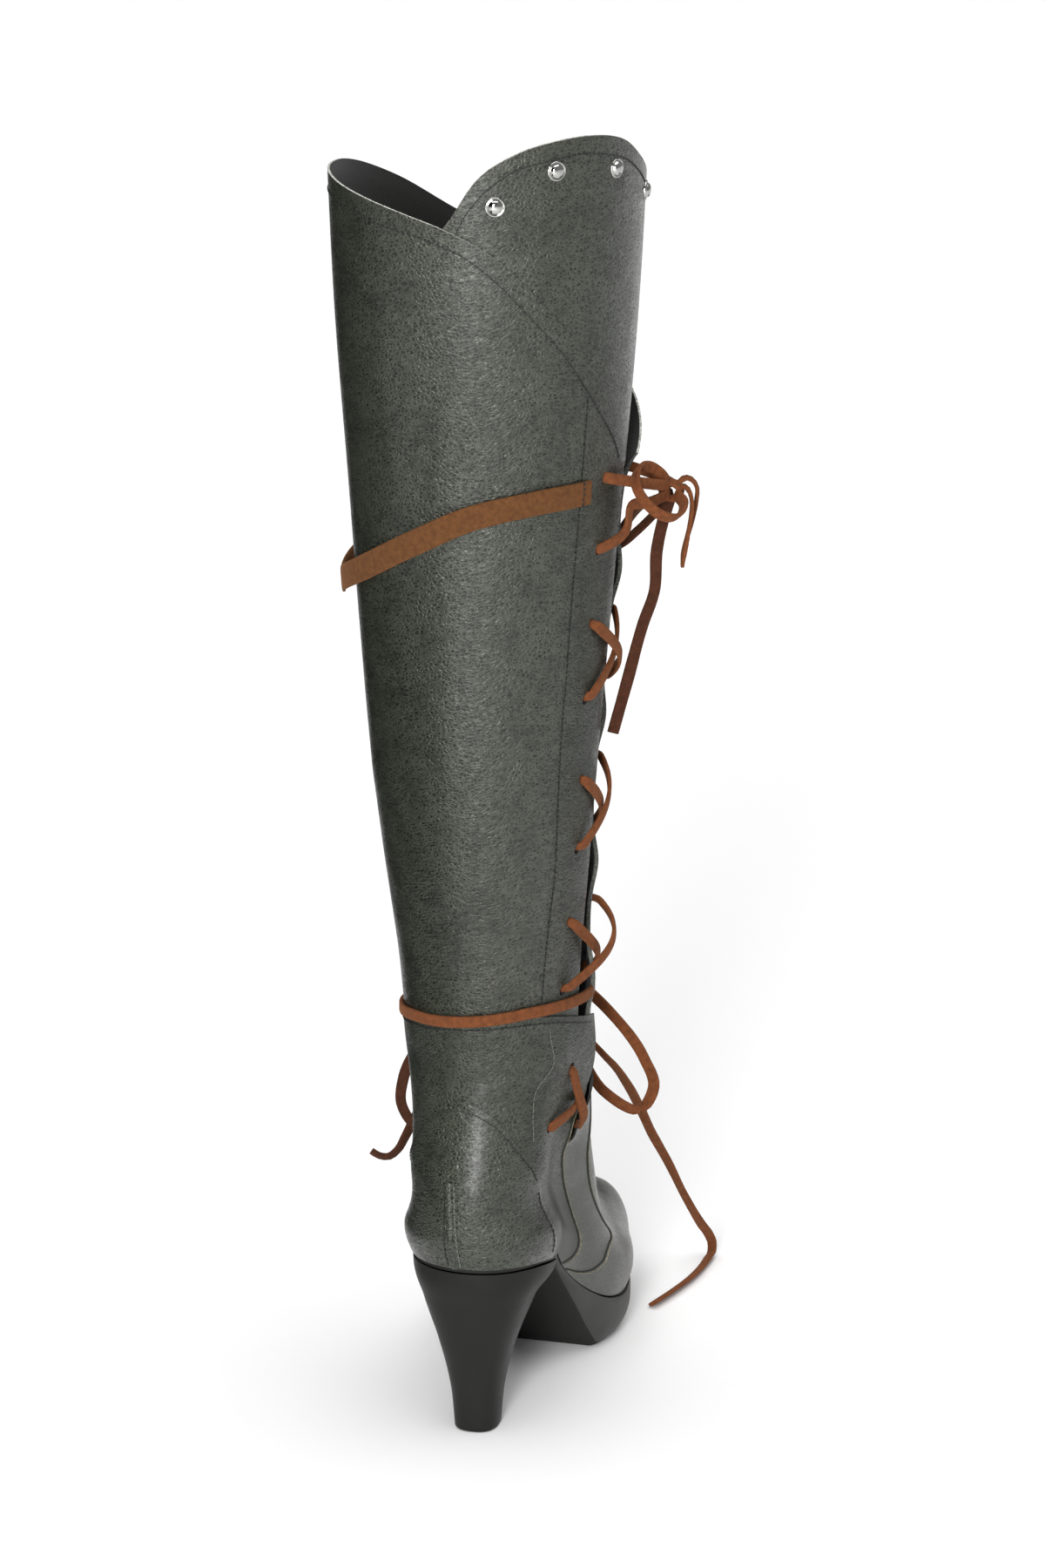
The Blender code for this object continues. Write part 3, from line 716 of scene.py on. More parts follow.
@dataclass
class BootForm:
    """Shape that every leather piece follows: leg rings and turns round the foot."""

    shaft: Table = Table(
        ("height", "lean", "centre", "half_width", "half_depth"),
        (
            (0.178, 0.0, 0.0655, 0.041, 0.0532), (0.221, 0.0, 0.058, 0.0426, 0.0518),
            (0.268, 0.0, 0.049, 0.0463, 0.053), (0.316, 0.0, 0.044, 0.0504, 0.0562),
            (0.38, 0.0, 0.045, 0.0558, 0.0612), (0.444, 0.0004, 0.046, 0.0608, 0.066),
            (0.514, 0.0016, 0.043, 0.066, 0.0705), (0.61, 0.0022, 0.043, 0.0704, 0.0745),
        ),
    )
    foot: Table = Table(
        ("step", "back", "back_rise", "front", "front_rise", "swell", "slim", "level", "toe"),
        (
            (0.0, 0.003, 0.0, 0.2335, 0.0, 1.0, 0.0, 0.0, 0.0),
            (0.06, 0.0008, 0.006, 0.2375, 0.0095, 1.07, 0.0, 0.0, 0.08),
            (0.12, -0.0008, 0.012, 0.2345, 0.0186, 1.08, 0.02, 0.0, 0.18),
            (0.2, -0.001, 0.018, 0.224, 0.026, 1.01, 0.05, 0.03, 0.25),
            (0.3, -0.0006, 0.0245, 0.205, 0.0323, 0.94, 0.1, 0.06, 0.22),
            (0.4, 0.0002, 0.0315, 0.185, 0.0392, 0.91, 0.17, 0.12, 0.15),
            (0.5, 0.0015, 0.039, 0.165, 0.049, 0.92, 0.27, 0.22, 0.08),
            (0.6, 0.0034, 0.0465, 0.15, 0.0625, 0.93, 0.38, 0.35, 0.03),
            (0.7, 0.0056, 0.0546, 0.14, 0.0768, 0.91, 0.48, 0.5, 0.0),
            (0.8, 0.008, 0.0643, 0.131, 0.0922, 0.9, 0.6, 0.66, 0.0),
            (0.9, 0.0104, 0.0765, 0.124, 0.1108, 0.91, 0.77, 0.84, 0.0),
            (0.95, 0.0115, 0.0843, 0.1208, 0.1266, 0.94, 0.88, 0.92, 0.0),
            (1.0, 0.0123, 0.0928, 0.1187, 0.1454, 1.0, 1.0, 1.0, 0.0),
        ),
    )
    feather: Table = Table(
        ("along", "lateral", "medial"),
        (
            (0.0, 0.058, 0.058), (0.12, 0.0475, 0.0475), (0.36, 0.0245, 0.0235), (0.63, 0.0394, 0.0445),
            (0.88, 0.04, 0.0446), (1.0, 0.05, 0.05),
        ),
    )
    sole: Table = Table(
        ("along", "top", "under", "taper"),
        (
            (0.0, 0.086, 0.077, 0.006), (0.03, 0.083, 0.073, 0.006), (0.05, 0.078, 0.068, 0.0055),
            (0.07, 0.07, 0.0605, 0.0045), (0.085, 0.06, 0.051, 0.0035), (0.1, 0.047, 0.036, 0.004),
            (0.115, 0.035, 0.016, 0.007), (0.13, 0.026, 0.0, 0.0082), (0.145, 0.0215, 0.0, 0.0082),
            (0.16, 0.02, 0.0, 0.0082), (0.19, 0.02, 0.0, 0.0082), (0.205, 0.0208, 0.0, 0.008),
            (0.22, 0.023, 0.0025, 0.0075), (0.239, 0.0275, 0.009, 0.007),
        ),
    )
    feather_gap: float = 0.0006
    ankle: float = 0.178
    leg_top: float = 0.610
    foot_steps: int = 160
    leg_steps: int = 240
    smoothing: int = 10
    toe_start: float = 0.72
    toe_span: float = 0.24
    crease_steps: int = 40
    crease_reach: float = 0.04
    creases: tuple[Crease, ...] = (
        Crease(((-118, 0.968), (-104, 0.958), (-90, 0.962), (-76, 0.972)), 3.2, -0.9),
        Crease(((-112, 1.004), (-96, 0.994), (-80, 1.0), (-66, 1.012)), 3.6, 0.8),
        Crease(((-100, 1.032), (-84, 1.022), (-62, 1.034), (-44, 1.04)), 4.5, -0.7),
        Crease(((-128, 0.935), (-112, 0.93), (-98, 0.934)), 3.0, 0.6),
        Crease(((-70, 0.96), (-54, 0.985), (-38, 1.0), (-20, 1.006)), 6.5, 0.9),
        Crease(((-66, 0.905), (-50, 0.93), (-34, 0.94)), 5.5, -0.7),
        Crease(((-150, 1.01), (-132, 0.985), (-118, 0.985)), 5.0, -0.8),
        Crease(((60, 0.985), (90, 0.975), (120, 0.985)), 6.0, -1.4),
        Crease(((50, 0.93), (90, 0.915), (130, 0.93)), 6.0, 1.0),
        Crease(((45, 0.88), (90, 0.86), (135, 0.88)), 6.0, -1.2),
        Crease(((150, 0.96), (172, 0.93), (196, 0.95)), 6.0, -0.9),
        Crease(((40, 0.33), (66, 0.3), (90, 0.296), (114, 0.3), (140, 0.33)), 5.0, -0.5),
        Crease(((36, 0.39), (64, 0.352), (90, 0.346), (116, 0.352), (144, 0.39)), 5.0, -0.45),
        Crease(((-150, 1.18), (-120, 1.165), (-90, 1.172)), 9.0, -0.7),
        Crease(((-160, 1.3), (-128, 1.32), (-100, 1.31)), 10.0, 0.6),
        Crease(((100, 1.12), (130, 1.1), (165, 1.115)), 9.0, -0.9),
        Crease(((80, 1.2), (115, 1.185), (150, 1.205)), 9.0, 0.8),
        Crease(((120, 1.42), (150, 1.44), (185, 1.425)), 11.0, -0.7),
        Crease(((-130, 1.56), (-100, 1.575), (-70, 1.565)), 12.0, -0.5),
    )
    lattice: Array = field(init=False, repr=False)
    rises: Array = field(init=False, repr=False)

    def __post_init__(self) -> None:
        """Works the surface out once on a fine lattice and smooths its joins."""
        self.rises = np.concatenate(
            [np.arange(self.foot_steps) / self.foot_steps, 1 + np.arange(self.leg_steps + 1) / self.leg_steps]
        )
        angle, rise = np.meshgrid(np.arange(361.0), self.rises, indexing="ij")
        leg, foot = self.leg_point(angle, rise), self.foot_point(angle, np.clip(rise, 0, 1))
        shape = np.where((rise > 1)[..., None], leg, foot)
        for _ in range(self.smoothing):
            shape[:, 1:-1] = (shape[:, :-2] + 2 * shape[:, 1:-1] + shape[:, 2:]) / 4
            ring = np.concatenate([shape[-2:-1], shape, shape[1:2]])
            shape = (ring[:-2] + 2 * ring[1:-1] + ring[2:]) / 4
        self.lattice = shape

    def leg_point(self, angle: Array, rise: Array) -> Array:
        """Point of the leg's ellipse.

        Args:
            angle: degrees from the lateral side.
            rise: 1 at the ankle, 2 at the top.

        Returns:
            Points in the boot's frame.
        """
        turn = np.radians(angle)
        height = self.height(rise)
        across = self.shaft.curve("lean", height) + self.shaft.curve("half_width", height) * np.cos(turn)
        along = self.shaft.curve("centre", height) + self.shaft.curve("half_depth", height) * np.sin(turn)
        return np.stack(np.broadcast_arrays(across, along, height), -1)

    def foot_point(self, angle: Array, step: Array) -> Array:
        """Point of the foot.

        Args:
            angle: degrees from the lateral side.
            step: 0 at the feather line, 1 at the ankle.

        Returns:
            Points in the boot's frame.
        """
        turn = np.radians(angle)
        part = (1 + np.sin(turn)) / 2
        back, front = self.foot.curve("back", step), self.foot.curve("front", step)
        along = mix(back, front, part)
        reach = np.where(
            np.cos(turn) > 0, self.feather.curve("lateral", part), self.feather.curve("medial", part)
        )
        narrow = self.foot.curve("toe", step) * ease((part - self.toe_start) / self.toe_span)
        reach = reach * self.foot.curve("swell", step) * (1 - narrow)
        reach = mix(reach, self.shaft.rows[0][3], self.foot.curve("slim", step))
        back_rise = self.foot.curve("back_rise", step) + self.feather_gap
        front_rise = self.foot.curve("front_rise", step) + self.feather_gap
        draped = self.sole_top(along) + mix(back_rise, front_rise, part)
        plane = mix(self.sole_top(back) + back_rise, self.sole_top(front) + front_rise, part)
        height = mix(draped, plane, self.foot.curve("level", step))
        return np.stack(np.broadcast_arrays(reach * np.cos(turn), along, height), -1)

    def sole_top(self, along: Any) -> Array:
        """Height of the sole's top along the foot."""
        return self.sole.curve("top", along)

    def height(self, rise: Any) -> Array:
        """Height of a rise on the leg."""
        return mix(self.ankle, self.leg_top, np.clip(np.asarray(rise, float) - 1, 0, 1))

    def rise(self, height: Any) -> Array:
        """Rise of a height on the leg."""
        return 1 + (np.asarray(height, float) - self.ankle) / (self.leg_top - self.ankle)

    def skin(self, angle: Any, rise: Any) -> Array:
        """Point of the smooth outer surface.

        Args:
            angle: degrees from the lateral side.
            rise: 0 to 2.

        Returns:
            Points in the boot's frame.
        """
        angle, rise = np.broadcast_arrays(np.asarray(angle, float), np.asarray(rise, float))
        column = np.mod(angle, 360)
        row = np.clip(np.interp(rise, self.rises, np.arange(len(self.rises))), 0, len(self.rises) - 1.001)
        left, low = column.astype(int), row.astype(int)
        side, up = (column - left)[..., None], (row - low)[..., None]
        grid = self.lattice
        lower = mix(grid[left, low], grid[left + 1, low], side)
        upper = mix(grid[left, low + 1], grid[left + 1, low + 1], side)
        return mix(lower, upper, up)

    def normal(self, angle: Any, rise: Any) -> Array:
        """Outward direction of the surface.

        Args:
            angle: degrees from the lateral side.
            rise: 0 to 2.

        Returns:
            Unit vectors.
        """
        angle, rise = np.broadcast_arrays(np.asarray(angle, float), np.asarray(rise, float))
        across = self.skin(angle + 2, rise) - self.skin(angle - 2, rise)
        upward = self.skin(angle, rise + 0.02) - self.skin(angle, np.clip(rise - 0.02, 0, 2))
        return unit(np.cross(across, upward))

    def relief(self, points: Array) -> Array:
        """Height of the creases at points of the surface.

        Args:
            points: points in the boot's frame.

        Returns:
            Heights in metres.
        """
        flat = points.reshape(-1, 3)
        total = np.zeros(len(flat))
        for crease in self.creases:
            spots = np.array(crease.spots, float)
            steps = np.linspace(0, len(spots) - 1, self.crease_steps)
            dense = curve_values(np.arange(len(spots)) * 1.0, spots, steps)
            line = self.skin(dense[:, 0], dense[:, 1])
            near = np.all(np.abs(flat - line.mean(0)) < np.ptp(line, axis=0) / 2 + self.crease_reach, axis=1)
            if not near.any():
                continue
            gap = np.linalg.norm(flat[near][:, None] - line[None], axis=2)
            closest = gap.argmin(1)
            fade = np.sin(math.pi * (closest + 0.5) / len(line)) ** 0.6
            distance = gap[np.arange(len(gap)), closest]
            total[near] += crease.depth_mm * MM * fade * np.exp(-((distance / (crease.width_mm * MM)) ** 2))
        return total.reshape(points.shape[:-1])

    def place(self, angle: Any, rise: Any, off: Any = 0.0) -> Array:
        """Point off the creased leather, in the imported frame.

        Args:
            angle: degrees from the lateral side.
            rise: 0 to 2.
            off: distance outwards, in metres.

        Returns:
            Points.
        """
        base = self.skin(angle, rise)
        lift = np.asarray(off, float) + self.relief(base)
        return base + self.normal(angle, rise) * lift[..., None] - SHIFT

    def lateral_angle(self, along: Any, rise: Any) -> Array:
        """Angle on the lateral side at a distance along the foot.

        Args:
            along: Y in the boot's frame.
            rise: 0 to 2.

        Returns:
            Angles in degrees.
        """
        height, step = self.height(rise), np.clip(rise, 0, 1)
        on_leg = np.asarray(rise) > 1
        centre, depth = self.shaft.curve("centre", height), self.shaft.curve("half_depth", height)
        back, front = self.foot.curve("back", step), self.foot.curve("front", step)
        middle = np.where(on_leg, centre, (front + back) / 2)
        half = np.where(on_leg, depth, (front - back) / 2)
        return np.degrees(np.arcsin(np.clip((along - middle) / half, -1, 1)))

    def lateral_spot(self, along: Any, height: Any) -> tuple[Array, Array]:
        """Angle and rise of spots on the lateral side.

        Args:
            along: Y in the boot's frame.
            height: Z.

        Returns:
            Angles and rises.
        """
        along, height = np.broadcast_arrays(np.asarray(along, float), np.asarray(height, float))
        low, high = np.zeros(height.shape), np.ones(height.shape)
        for _ in range(24):
            middle = (low + high) / 2
            above = self.skin(self.lateral_angle(along, middle), middle)[..., 2] > height
            low, high = np.where(above, low, middle), np.where(above, middle, high)
        rise = np.where(height > self.ankle, self.rise(height), low)
        return self.lateral_angle(along, rise), rise


# Mesh helpers


def put(name: str, data: bpy.types.ID) -> Piece:
    """Puts a mesh, light or camera into the scene.

    Args:
        name: object name.
        data: what it shows.

    Returns:
        The new object.
    """
    thing = bpy.data.objects.new(name, data)
    bpy.context.scene.collection.objects.link(thing)
    return thing


def make_piece(
    name: str,
    points: Array,
    faces: Sequence[Sequence[int]],
    materials: Sequence[Material],
    slot: Slot,
    looks: Sequence[int] | None = None,
    sharp: float = 40.0,
) -> Piece:
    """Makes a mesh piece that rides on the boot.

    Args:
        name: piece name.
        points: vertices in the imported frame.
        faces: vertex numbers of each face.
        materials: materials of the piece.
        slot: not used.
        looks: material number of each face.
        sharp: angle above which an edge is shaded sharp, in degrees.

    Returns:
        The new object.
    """
    used = np.unique(np.concatenate([np.asarray(face) for face in faces]))
    number = np.full(len(points), -1)
    number[used] = np.arange(len(used))
    mesh = bpy.data.meshes.new(name)
    mesh.from_pydata(np.asarray(points)[used].tolist(), [], [number[list(face)].tolist() for face in faces])
    for material in materials:
        mesh.materials.append(material)
    if looks is not None:
        mesh.polygons.foreach_set("material_index", np.asarray(looks, np.int32))
    mesh.shade_smooth()
    mesh.set_sharp_from_angle(angle=math.radians(sharp))
    piece = put(name, mesh)
    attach(piece, "root")
    return piece


def grid_faces(rows: int, columns: int, closed: bool = False) -> Array:
    """Faces of a grid of points.

    Args:
        rows: rows of points.
        columns: points in a row.
        closed: whether each row joins its own start.

    Returns:
        Faces in rows of four vertex numbers.
    """
    across = columns if closed else columns - 1
    grid = np.meshgrid(np.arange(rows - 1), np.arange(across), indexing="ij")
    row, column = (part.ravel() for part in grid)
    here, beside = row * columns + column, row * columns + (column + 1) % columns
    return np.stack([here, beside, beside + columns, here + columns], -1)


def tube_faces(rows: int, columns: int) -> list[list[int]]:
    """Faces of a tube of rings with a cap at each end.

    Args:
        rows: number of rings.
        columns: points in a ring.

    Returns:
        Vertex numbers of each face.
    """
    sides = grid_faces(rows, columns, closed=True).tolist()
    last = (rows - 1) * columns
    return [*sides, list(reversed(range(columns))), list(range(last, last + columns))]


def punch(outer: Array, inner: Array, centres: Iterable[Array], radius: float) -> set[int]:
    """Opens round holes in a two-skin grid by moving the corners beside each.

    Args:
        outer: outer grid of points, changed in place.
        inner: inner grid of points, changed in place.
        centres: middle of each hole.
        radius: hole radius in metres.

    Returns:
        Numbers of the points in the holes, whose faces are left out.
    """
    rows, columns = outer.shape[:2]
    gone = set()
    ring = ((0, 1), (1, 1), (1, 0), (1, -1), (0, -1), (-1, -1), (-1, 0), (-1, 1))
    for centre in centres:
        gap = np.linalg.norm(outer - centre, axis=2)
        row, column = np.unravel_index(gap.argmin(), gap.shape)
        row, column = np.clip(row, 2, rows - 3), np.clip(column, 2, columns - 3)
        depth = inner[row, column] - outer[row, column]
        across = unit(outer[row, column + 1] - outer[row, column - 1])
        upward = outer[row + 1, column] - outer[row - 1, column]
        upward = unit(upward - across * (upward @ across))
        for number, (up, side) in enumerate(ring):
            turn = number * math.pi / 4
            spot = centre + radius * (math.cos(turn) * across + math.sin(turn) * upward)
            outer[row + up, column + side] = spot
            inner[row + up, column + side] = spot + depth
        gone.add(int(row * columns + column))
    return gone


def shell(
    name: str,
    outer: Array,
    inner: Array,
    materials: Sequence[Material],
    slot: Slot,
    closed: bool = False,
    gone: Iterable[int] = (),
) -> Piece:
    """Makes a closed two-skin piece from an outer and an inner grid.

    Args:
        name: piece name.
        outer: outer grid of points, rows upward and columns by rising angle.
        inner: inner grid of the same size.
        materials: outer, inner and edge material, and one more if the top edge differs.
        slot: record slot of its finish.
        closed: whether each row joins its own start.
        gone: points whose faces are left out.

    Returns:
        The new object.
    """
    rows, columns = outer.shape[:2]
    faces = grid_faces(rows, columns, closed)
    if gone:
        faces = faces[~np.isin(faces, list(gone)).any(axis=1)]
    count = rows * columns
    edges = np.concatenate([faces[:, [side, (side + 1) % 4]] for side in range(4)])
    there = set(map(tuple, edges.tolist()))
    rim = sorted((b, a, a + count, b + count) for a, b in there if (b, a) not in there)
    last_row, top_look = (rows - 1) * columns, len(materials) - 1
    beside = {point + up * columns + side for point in gone for up in (-1, 0, 1) for side in (-1, 0, 1)}
    every = faces.tolist() + (faces[:, ::-1] + count).tolist() + rim
    looks = [0] * len(faces) + [1] * len(faces) + [
        1 if face[0] in beside else top_look if min(face[:2]) >= last_row else 2 for face in rim
    ]
    points = np.concatenate([outer.reshape(-1, 3), inner.reshape(-1, 3)])
    return make_piece(name, points, every, materials, slot, looks)


def strip_frames(path: Array, broad: Array) -> tuple[Array, Array]:
    """Directions across a strip and out of its face.

    Args:
        path: points along the strip.
        broad: wanted direction across, one or one per point.

    Returns:
        Directions across and out of the face.
    """
    ahead = unit(np.gradient(path, axis=0))
    broad = np.broadcast_to(np.asarray(broad, float), path.shape)
    across = unit(broad - ahead * np.sum(broad * ahead, axis=1, keepdims=True))
    return across, np.cross(ahead, across)


def strip_mesh(
    path: Array, broad: Array, width: Any, thick: Any, sides: int = 16, closed: bool = False
) -> Mesh:
    """Points and faces of a flat strip with rounded edges.

    Args:
        path: points along the strip.
        broad: wanted direction across, one or one per point.
        width: width, one or one per point.
        thick: thickness, one or one per point.
        sides: points round the section.
        closed: whether the strip joins its own start.

    Returns:
        Points and faces.
    """
    if closed:
        long = np.concatenate([path[-2:], path, path[:2]])
        wide = np.concatenate([broad[-2:], broad, broad[:2]])
        across, out = (part[2:-2] for part in strip_frames(long, wide))
    else:
        across, out = strip_frames(path, broad)
    count = len(path)
    turn = 2 * math.pi * (np.arange(sides) + 0.5) / sides
    half_wide = np.broadcast_to(np.asarray(width, float) / 2, count)[:, None]
    half_thick = np.broadcast_to(np.asarray(thick, float) / 2, count)[:, None]
    flat = half_wide * squarish(np.cos(turn), STRIP_CORNER)
    deep = half_thick * squarish(np.sin(turn), STRIP_CORNER)
    points = path[:, None] + across[:, None] * flat[..., None] + out[:, None] * deep[..., None]
    if closed:
        faces = (grid_faces(count + 1, sides, closed=True) % (count * sides)).tolist()
    else:
        faces = tube_faces(count, sides)
    return points.reshape(-1, 3), faces


def joined(parts: Iterable[Mesh]) -> Mesh:
    """Puts several meshes into one.

    Args:
        parts: points and faces of each.

    Returns:
        Points and faces together.
    """
    points, faces, start = [], [], 0
    for some_points, some_faces in parts:
        points.append(some_points)
        faces.extend([[corner + start for corner in face] for face in some_faces])
        start += len(some_points)
    return np.concatenate(points), faces


# Leather


@dataclass
class Slit:
    """Lacing slit on the lateral side and its two rows of punched holes."""

    form: BootForm
    line: float = 0.060
    top: float = 0.451
    gaps: Table = Table(
        ("height", "half_gap"),
        ((0.12, 0.0008), (0.15, 0.004), (0.21, 0.0085), (0.3, 0.0105), (0.451, 0.011)),
    )
    hole_top: float = 0.449
    hole_pitch: float = 0.0341
    hole_radius: float = 0.0023
    away: Table = Table(
        ("number", "BACK", "FRONT"),
        (
            (0, 0.034, 0.0155), (3, 0.0345, 0.0155), (5, 0.0275, 0.0155), (7, 0.0234, 0.0155),
            (8, 0.01, 0.006), (9, 0.025, 0.0125),
        ),
    )
    drops: Table = Table(
        ("number", "BACK", "FRONT"),
        (
            (0, -0.001, 0.0045), (1, -0.0027, 0.008), (2, -0.004, 0.0), (3, -0.003, 0.0), (4, 0.0, 0.0),
            (7, 0.0, 0.0), (8, 0.006, 0.0236), (9, -0.0028, 0.0085),
        ),
    )
    bulges: tuple[float, ...] = (0.398, 0.33, 0.262, 0.206)
    bulge_half: float = 0.013
    bulge_rise: float = 0.0030
    bulge_fade: float = 0.011

    def edges(self, rise: Any) -> tuple[Array, Array]:
        """Angles of the slit's front and back edge on the leg.

        Args:
            rise: rise on the leg.

        Returns:
            Front and back angles.
        """
        height = np.minimum(self.form.height(rise), self.top)
        gap = self.gaps.curve("half_gap", height)
        at = self.form.rise(height)
        return self.form.lateral_angle(self.line + gap, at), self.form.lateral_angle(self.line - gap, at)

    def hole(self, number: int, side: Side) -> Spot:
        """Angle and rise of a lace hole.

        Args:
            number: 0 is the top hole.
            side: row of holes.

        Returns:
            Angle and rise.
        """
        away = self.line + side.value * float(self.away.line(side.name, number))
        height = self.hole_top - self.hole_pitch * number - float(self.drops.line(side.name, number))
        angle, rise = self.form.lateral_spot(away, height)
        return float(angle), float(rise)

    def flare(self, height: Array, distance: Array) -> Array:
        """How far the front edge stands off between the lace crossings.

        Args:
            height: heights on the leg.
            distance: distance behind the edge, in metres.

        Returns:
            Offsets in metres.
        """
        wave = sum(np.exp(-(((height - middle) / self.bulge_half) ** 2)) for middle in self.bulges)
        return self.bulge_rise * np.clip(wave, 0, 1) * np.exp(-((distance / self.bulge_fade) ** 2))


@dataclass
class Leather:
    """Upper: leg wrap, foot shell and the panels sewn over it, and the flap behind the slit."""

    form: BootForm
    slit: Slit
    palette: Palette
    wrap_edge: Table = Table(
        ("angle", "height"),
        (
            (22.0, 0.451), (35.0, 0.464), (50.0, 0.485), (70.0, 0.51), (90.0, 0.53), (120.0, 0.5505),
            (143.0, 0.567), (172.0, 0.579), (190.0, 0.5805), (221.0, 0.578), (240.0, 0.5745),
            (256.0, 0.5703), (271.0, 0.5648), (288.0, 0.554), (313.0, 0.525), (338.0, 0.4905),
            (349.0, 0.475), (363.0, 0.451),
        ),
    )
    flap_edge: Table = Table(
        ("angle", "height"),
        (
            (-100.0, 0.556), (-89.0, 0.5665), (-78.5, 0.585), (-63.5, 0.597), (-49.5, 0.6014),
            (-36.0, 0.6024), (-16.0, 0.5975), (-5.0, 0.59), (18.0, 0.574), (35.0, 0.5575), (50.0, 0.5365),
            (63.0, 0.503), (72.0, 0.485),
        ),
    )
    ankle_edge: Table = Table(
        ("angle", "height"),
        (
            (-200.0, 0.189), (-157.0, 0.1936), (-124.0, 0.198), (-83.0, 0.2015), (-61.0, 0.2022),
            (-42.0, 0.2013), (-22.0, 0.197), (0.0, 0.1905), (20.0, 0.185),
        ),
    )
    quarter_edge: Table = Table(
        ("rise", "angle"),
        (
            (0.0, -16.0), (0.032, -13.5), (0.104, -9.0), (0.188, -6.0), (0.268, -5.5), (0.376, -6.5),
            (0.5, -8.5), (0.616, -9.5), (0.708, -6.0), (0.808, -3.0), (0.856, 0.5), (0.92, 7.5),
            (0.945, 13.0), (0.97, 16.0), (1.0, 17.5), (1.02, 17.0), (1.06, 14.0),
        ),
    )
    saddle_edge: Table = Table(
        ("rise", "angle"),
        (
            (0.0, -13.0), (0.04, -6.5), (0.068, -3.0), (0.112, 1.0), (0.2, 7.0), (0.26, 12.0), (0.3, 17.0),
            (0.345, 20.0), (0.385, 15.7), (0.45, 10.6), (0.556, 8.0), (0.664, 9.5), (0.75, 14.0),
            (0.85, 22.0), (1.0, 34.0),
        ),
    )
    counter_top: Table = Table(
        ("angle", "rise"),
        (
            (-142.0, 0.45), (-136.0, 0.592), (-126.5, 0.724), (-116.5, 0.828), (-105.0, 0.884),
            (-93.5, 0.904), (-81.0, 0.884), (-69.5, 0.828), (-59.5, 0.724), (-50.0, 0.592), (-44.0, 0.45),
        ),
    )
    wall: float = 0.0018
    skive: float = 0.0010
    skive_width: float = 0.007
    corner_curl: float = 0.0092
    curl_height: float = 0.468
    curl_half: float = 0.022
    curl_fade: float = 0.016
    curl_end: Spot = (50.0, 25.0)
    leg_low: float = 0.180
    leg_radius: float = 0.055
    leg_rows: int = 150
    leg_columns: int = 168
    split_rise: float = 0.62
    split_span: float = 0.25
    split_angle: float = 5.0

    def wrap_height(self, angle: Array) -> Array:
        """Height of the wrap's top edge.

        Args:
            angle: angles round the leg in degrees.

        Returns:
            Its height at each angle.
        """
        angle = np.mod(np.asarray(angle, float), 360)
        start = self.wrap_edge.rows[0][0]
        low = angle < start
        return np.where(low, self.slit.top, self.wrap_edge.curve("height", np.where(low, start, angle)))

    def gape(self, rise: Array) -> Array:
        """Angle by which the slit's foot opens at each rise."""
        return np.clip((rise - self.split_rise) / self.split_span, 0, 1) * self.split_angle

    def medial_edge(self, rise: Any) -> Array:
        """Angle of the quarter's front edge on the medial side."""
        highest = mix(-9.5, 2.0, (rise - 0.6) / 0.4)
        return -180 - np.minimum(self.quarter_edge.curve("angle", rise), highest)

    def build(self) -> list[Piece]:
        """Builds every leather piece.

        Returns:
            The pieces.
        """
        leg = self.leg_wrap()
        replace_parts(leg, "upper")
        flap = self.knee_flap()
        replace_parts(flap, "tongue")
        panels = [self.foot_shell(), self.quarter(), *self.saddles(), self.counter(), self.back_bead()]
        return [leg, flap, *panels, *self.edge_lines()]

    def edge_lines(self) -> list[Piece]:
        """Dark lines at the fronts of the quarter and the saddles, a painted shadow along each edge, each with
        a pale hairline beside it towards the toe.

        Returns:
            The new pieces.
        """
        shadow_lines, pale_lines = [], []
        shadow_width, pale_width, thick, ahead = 0.0008, 0.0004, 0.0005, 0.9
        for table, top, off in ((self.quarter_edge, 0.90, 0.0009), (self.saddle_edge, 0.94, 0.0005)):
            rise = np.linspace(0.004, top, 160)
            angle = table.curve("angle", rise)
            for turned, forward in ((angle, ahead), (-180 - angle, -ahead)):
                # The dark line is painted shadow along the panel's edge; the pale hairline sits beside it.
                for lines, shift, width in ((shadow_lines, 0.0, shadow_width), (pale_lines, forward, pale_width)):
                    path = self.form.place(turned + shift, rise, off)
                    broad = np.cross(self.form.normal(turned + shift, rise), np.gradient(path, axis=0))
                    lines.append(strip_mesh(path, broad, width, thick, sides=8))
        return [
            make_piece("painted_shadow_edge_lines", *joined(shadow_lines), [self.palette.dark_edge], Slot.LEATHER),
            make_piece("pale_panel_edge_lines", *joined(pale_lines), [self.palette.beige_edge], Slot.LEATHER),
        ]

    def panel(
        self,
        name: str,
        spots: tuple[Array, Array],
        off: Any,
        thick: Any,
        skins: list[Material],
        holes: Sequence[Array] = (),
    ) -> Piece:
        """Makes a leather panel on the form and punches its holes.

        Args:
            name: piece name.
            spots: grids of angles and rises.
            off: distance of the outer skin from the form.
            thick: thickness.
            skins: outer, inner and edge material, and one more if the top edge differs.
            holes: middle of each hole.

        Returns:
            The new object.
        """
        outer, inner = self.form.place(*spots, off), self.form.place(*spots, off - thick)
        gone = punch(outer, inner, holes, self.slit.hole_radius)
        return shell(name, outer, inner, skins, Slot.LEATHER, gone=gone)

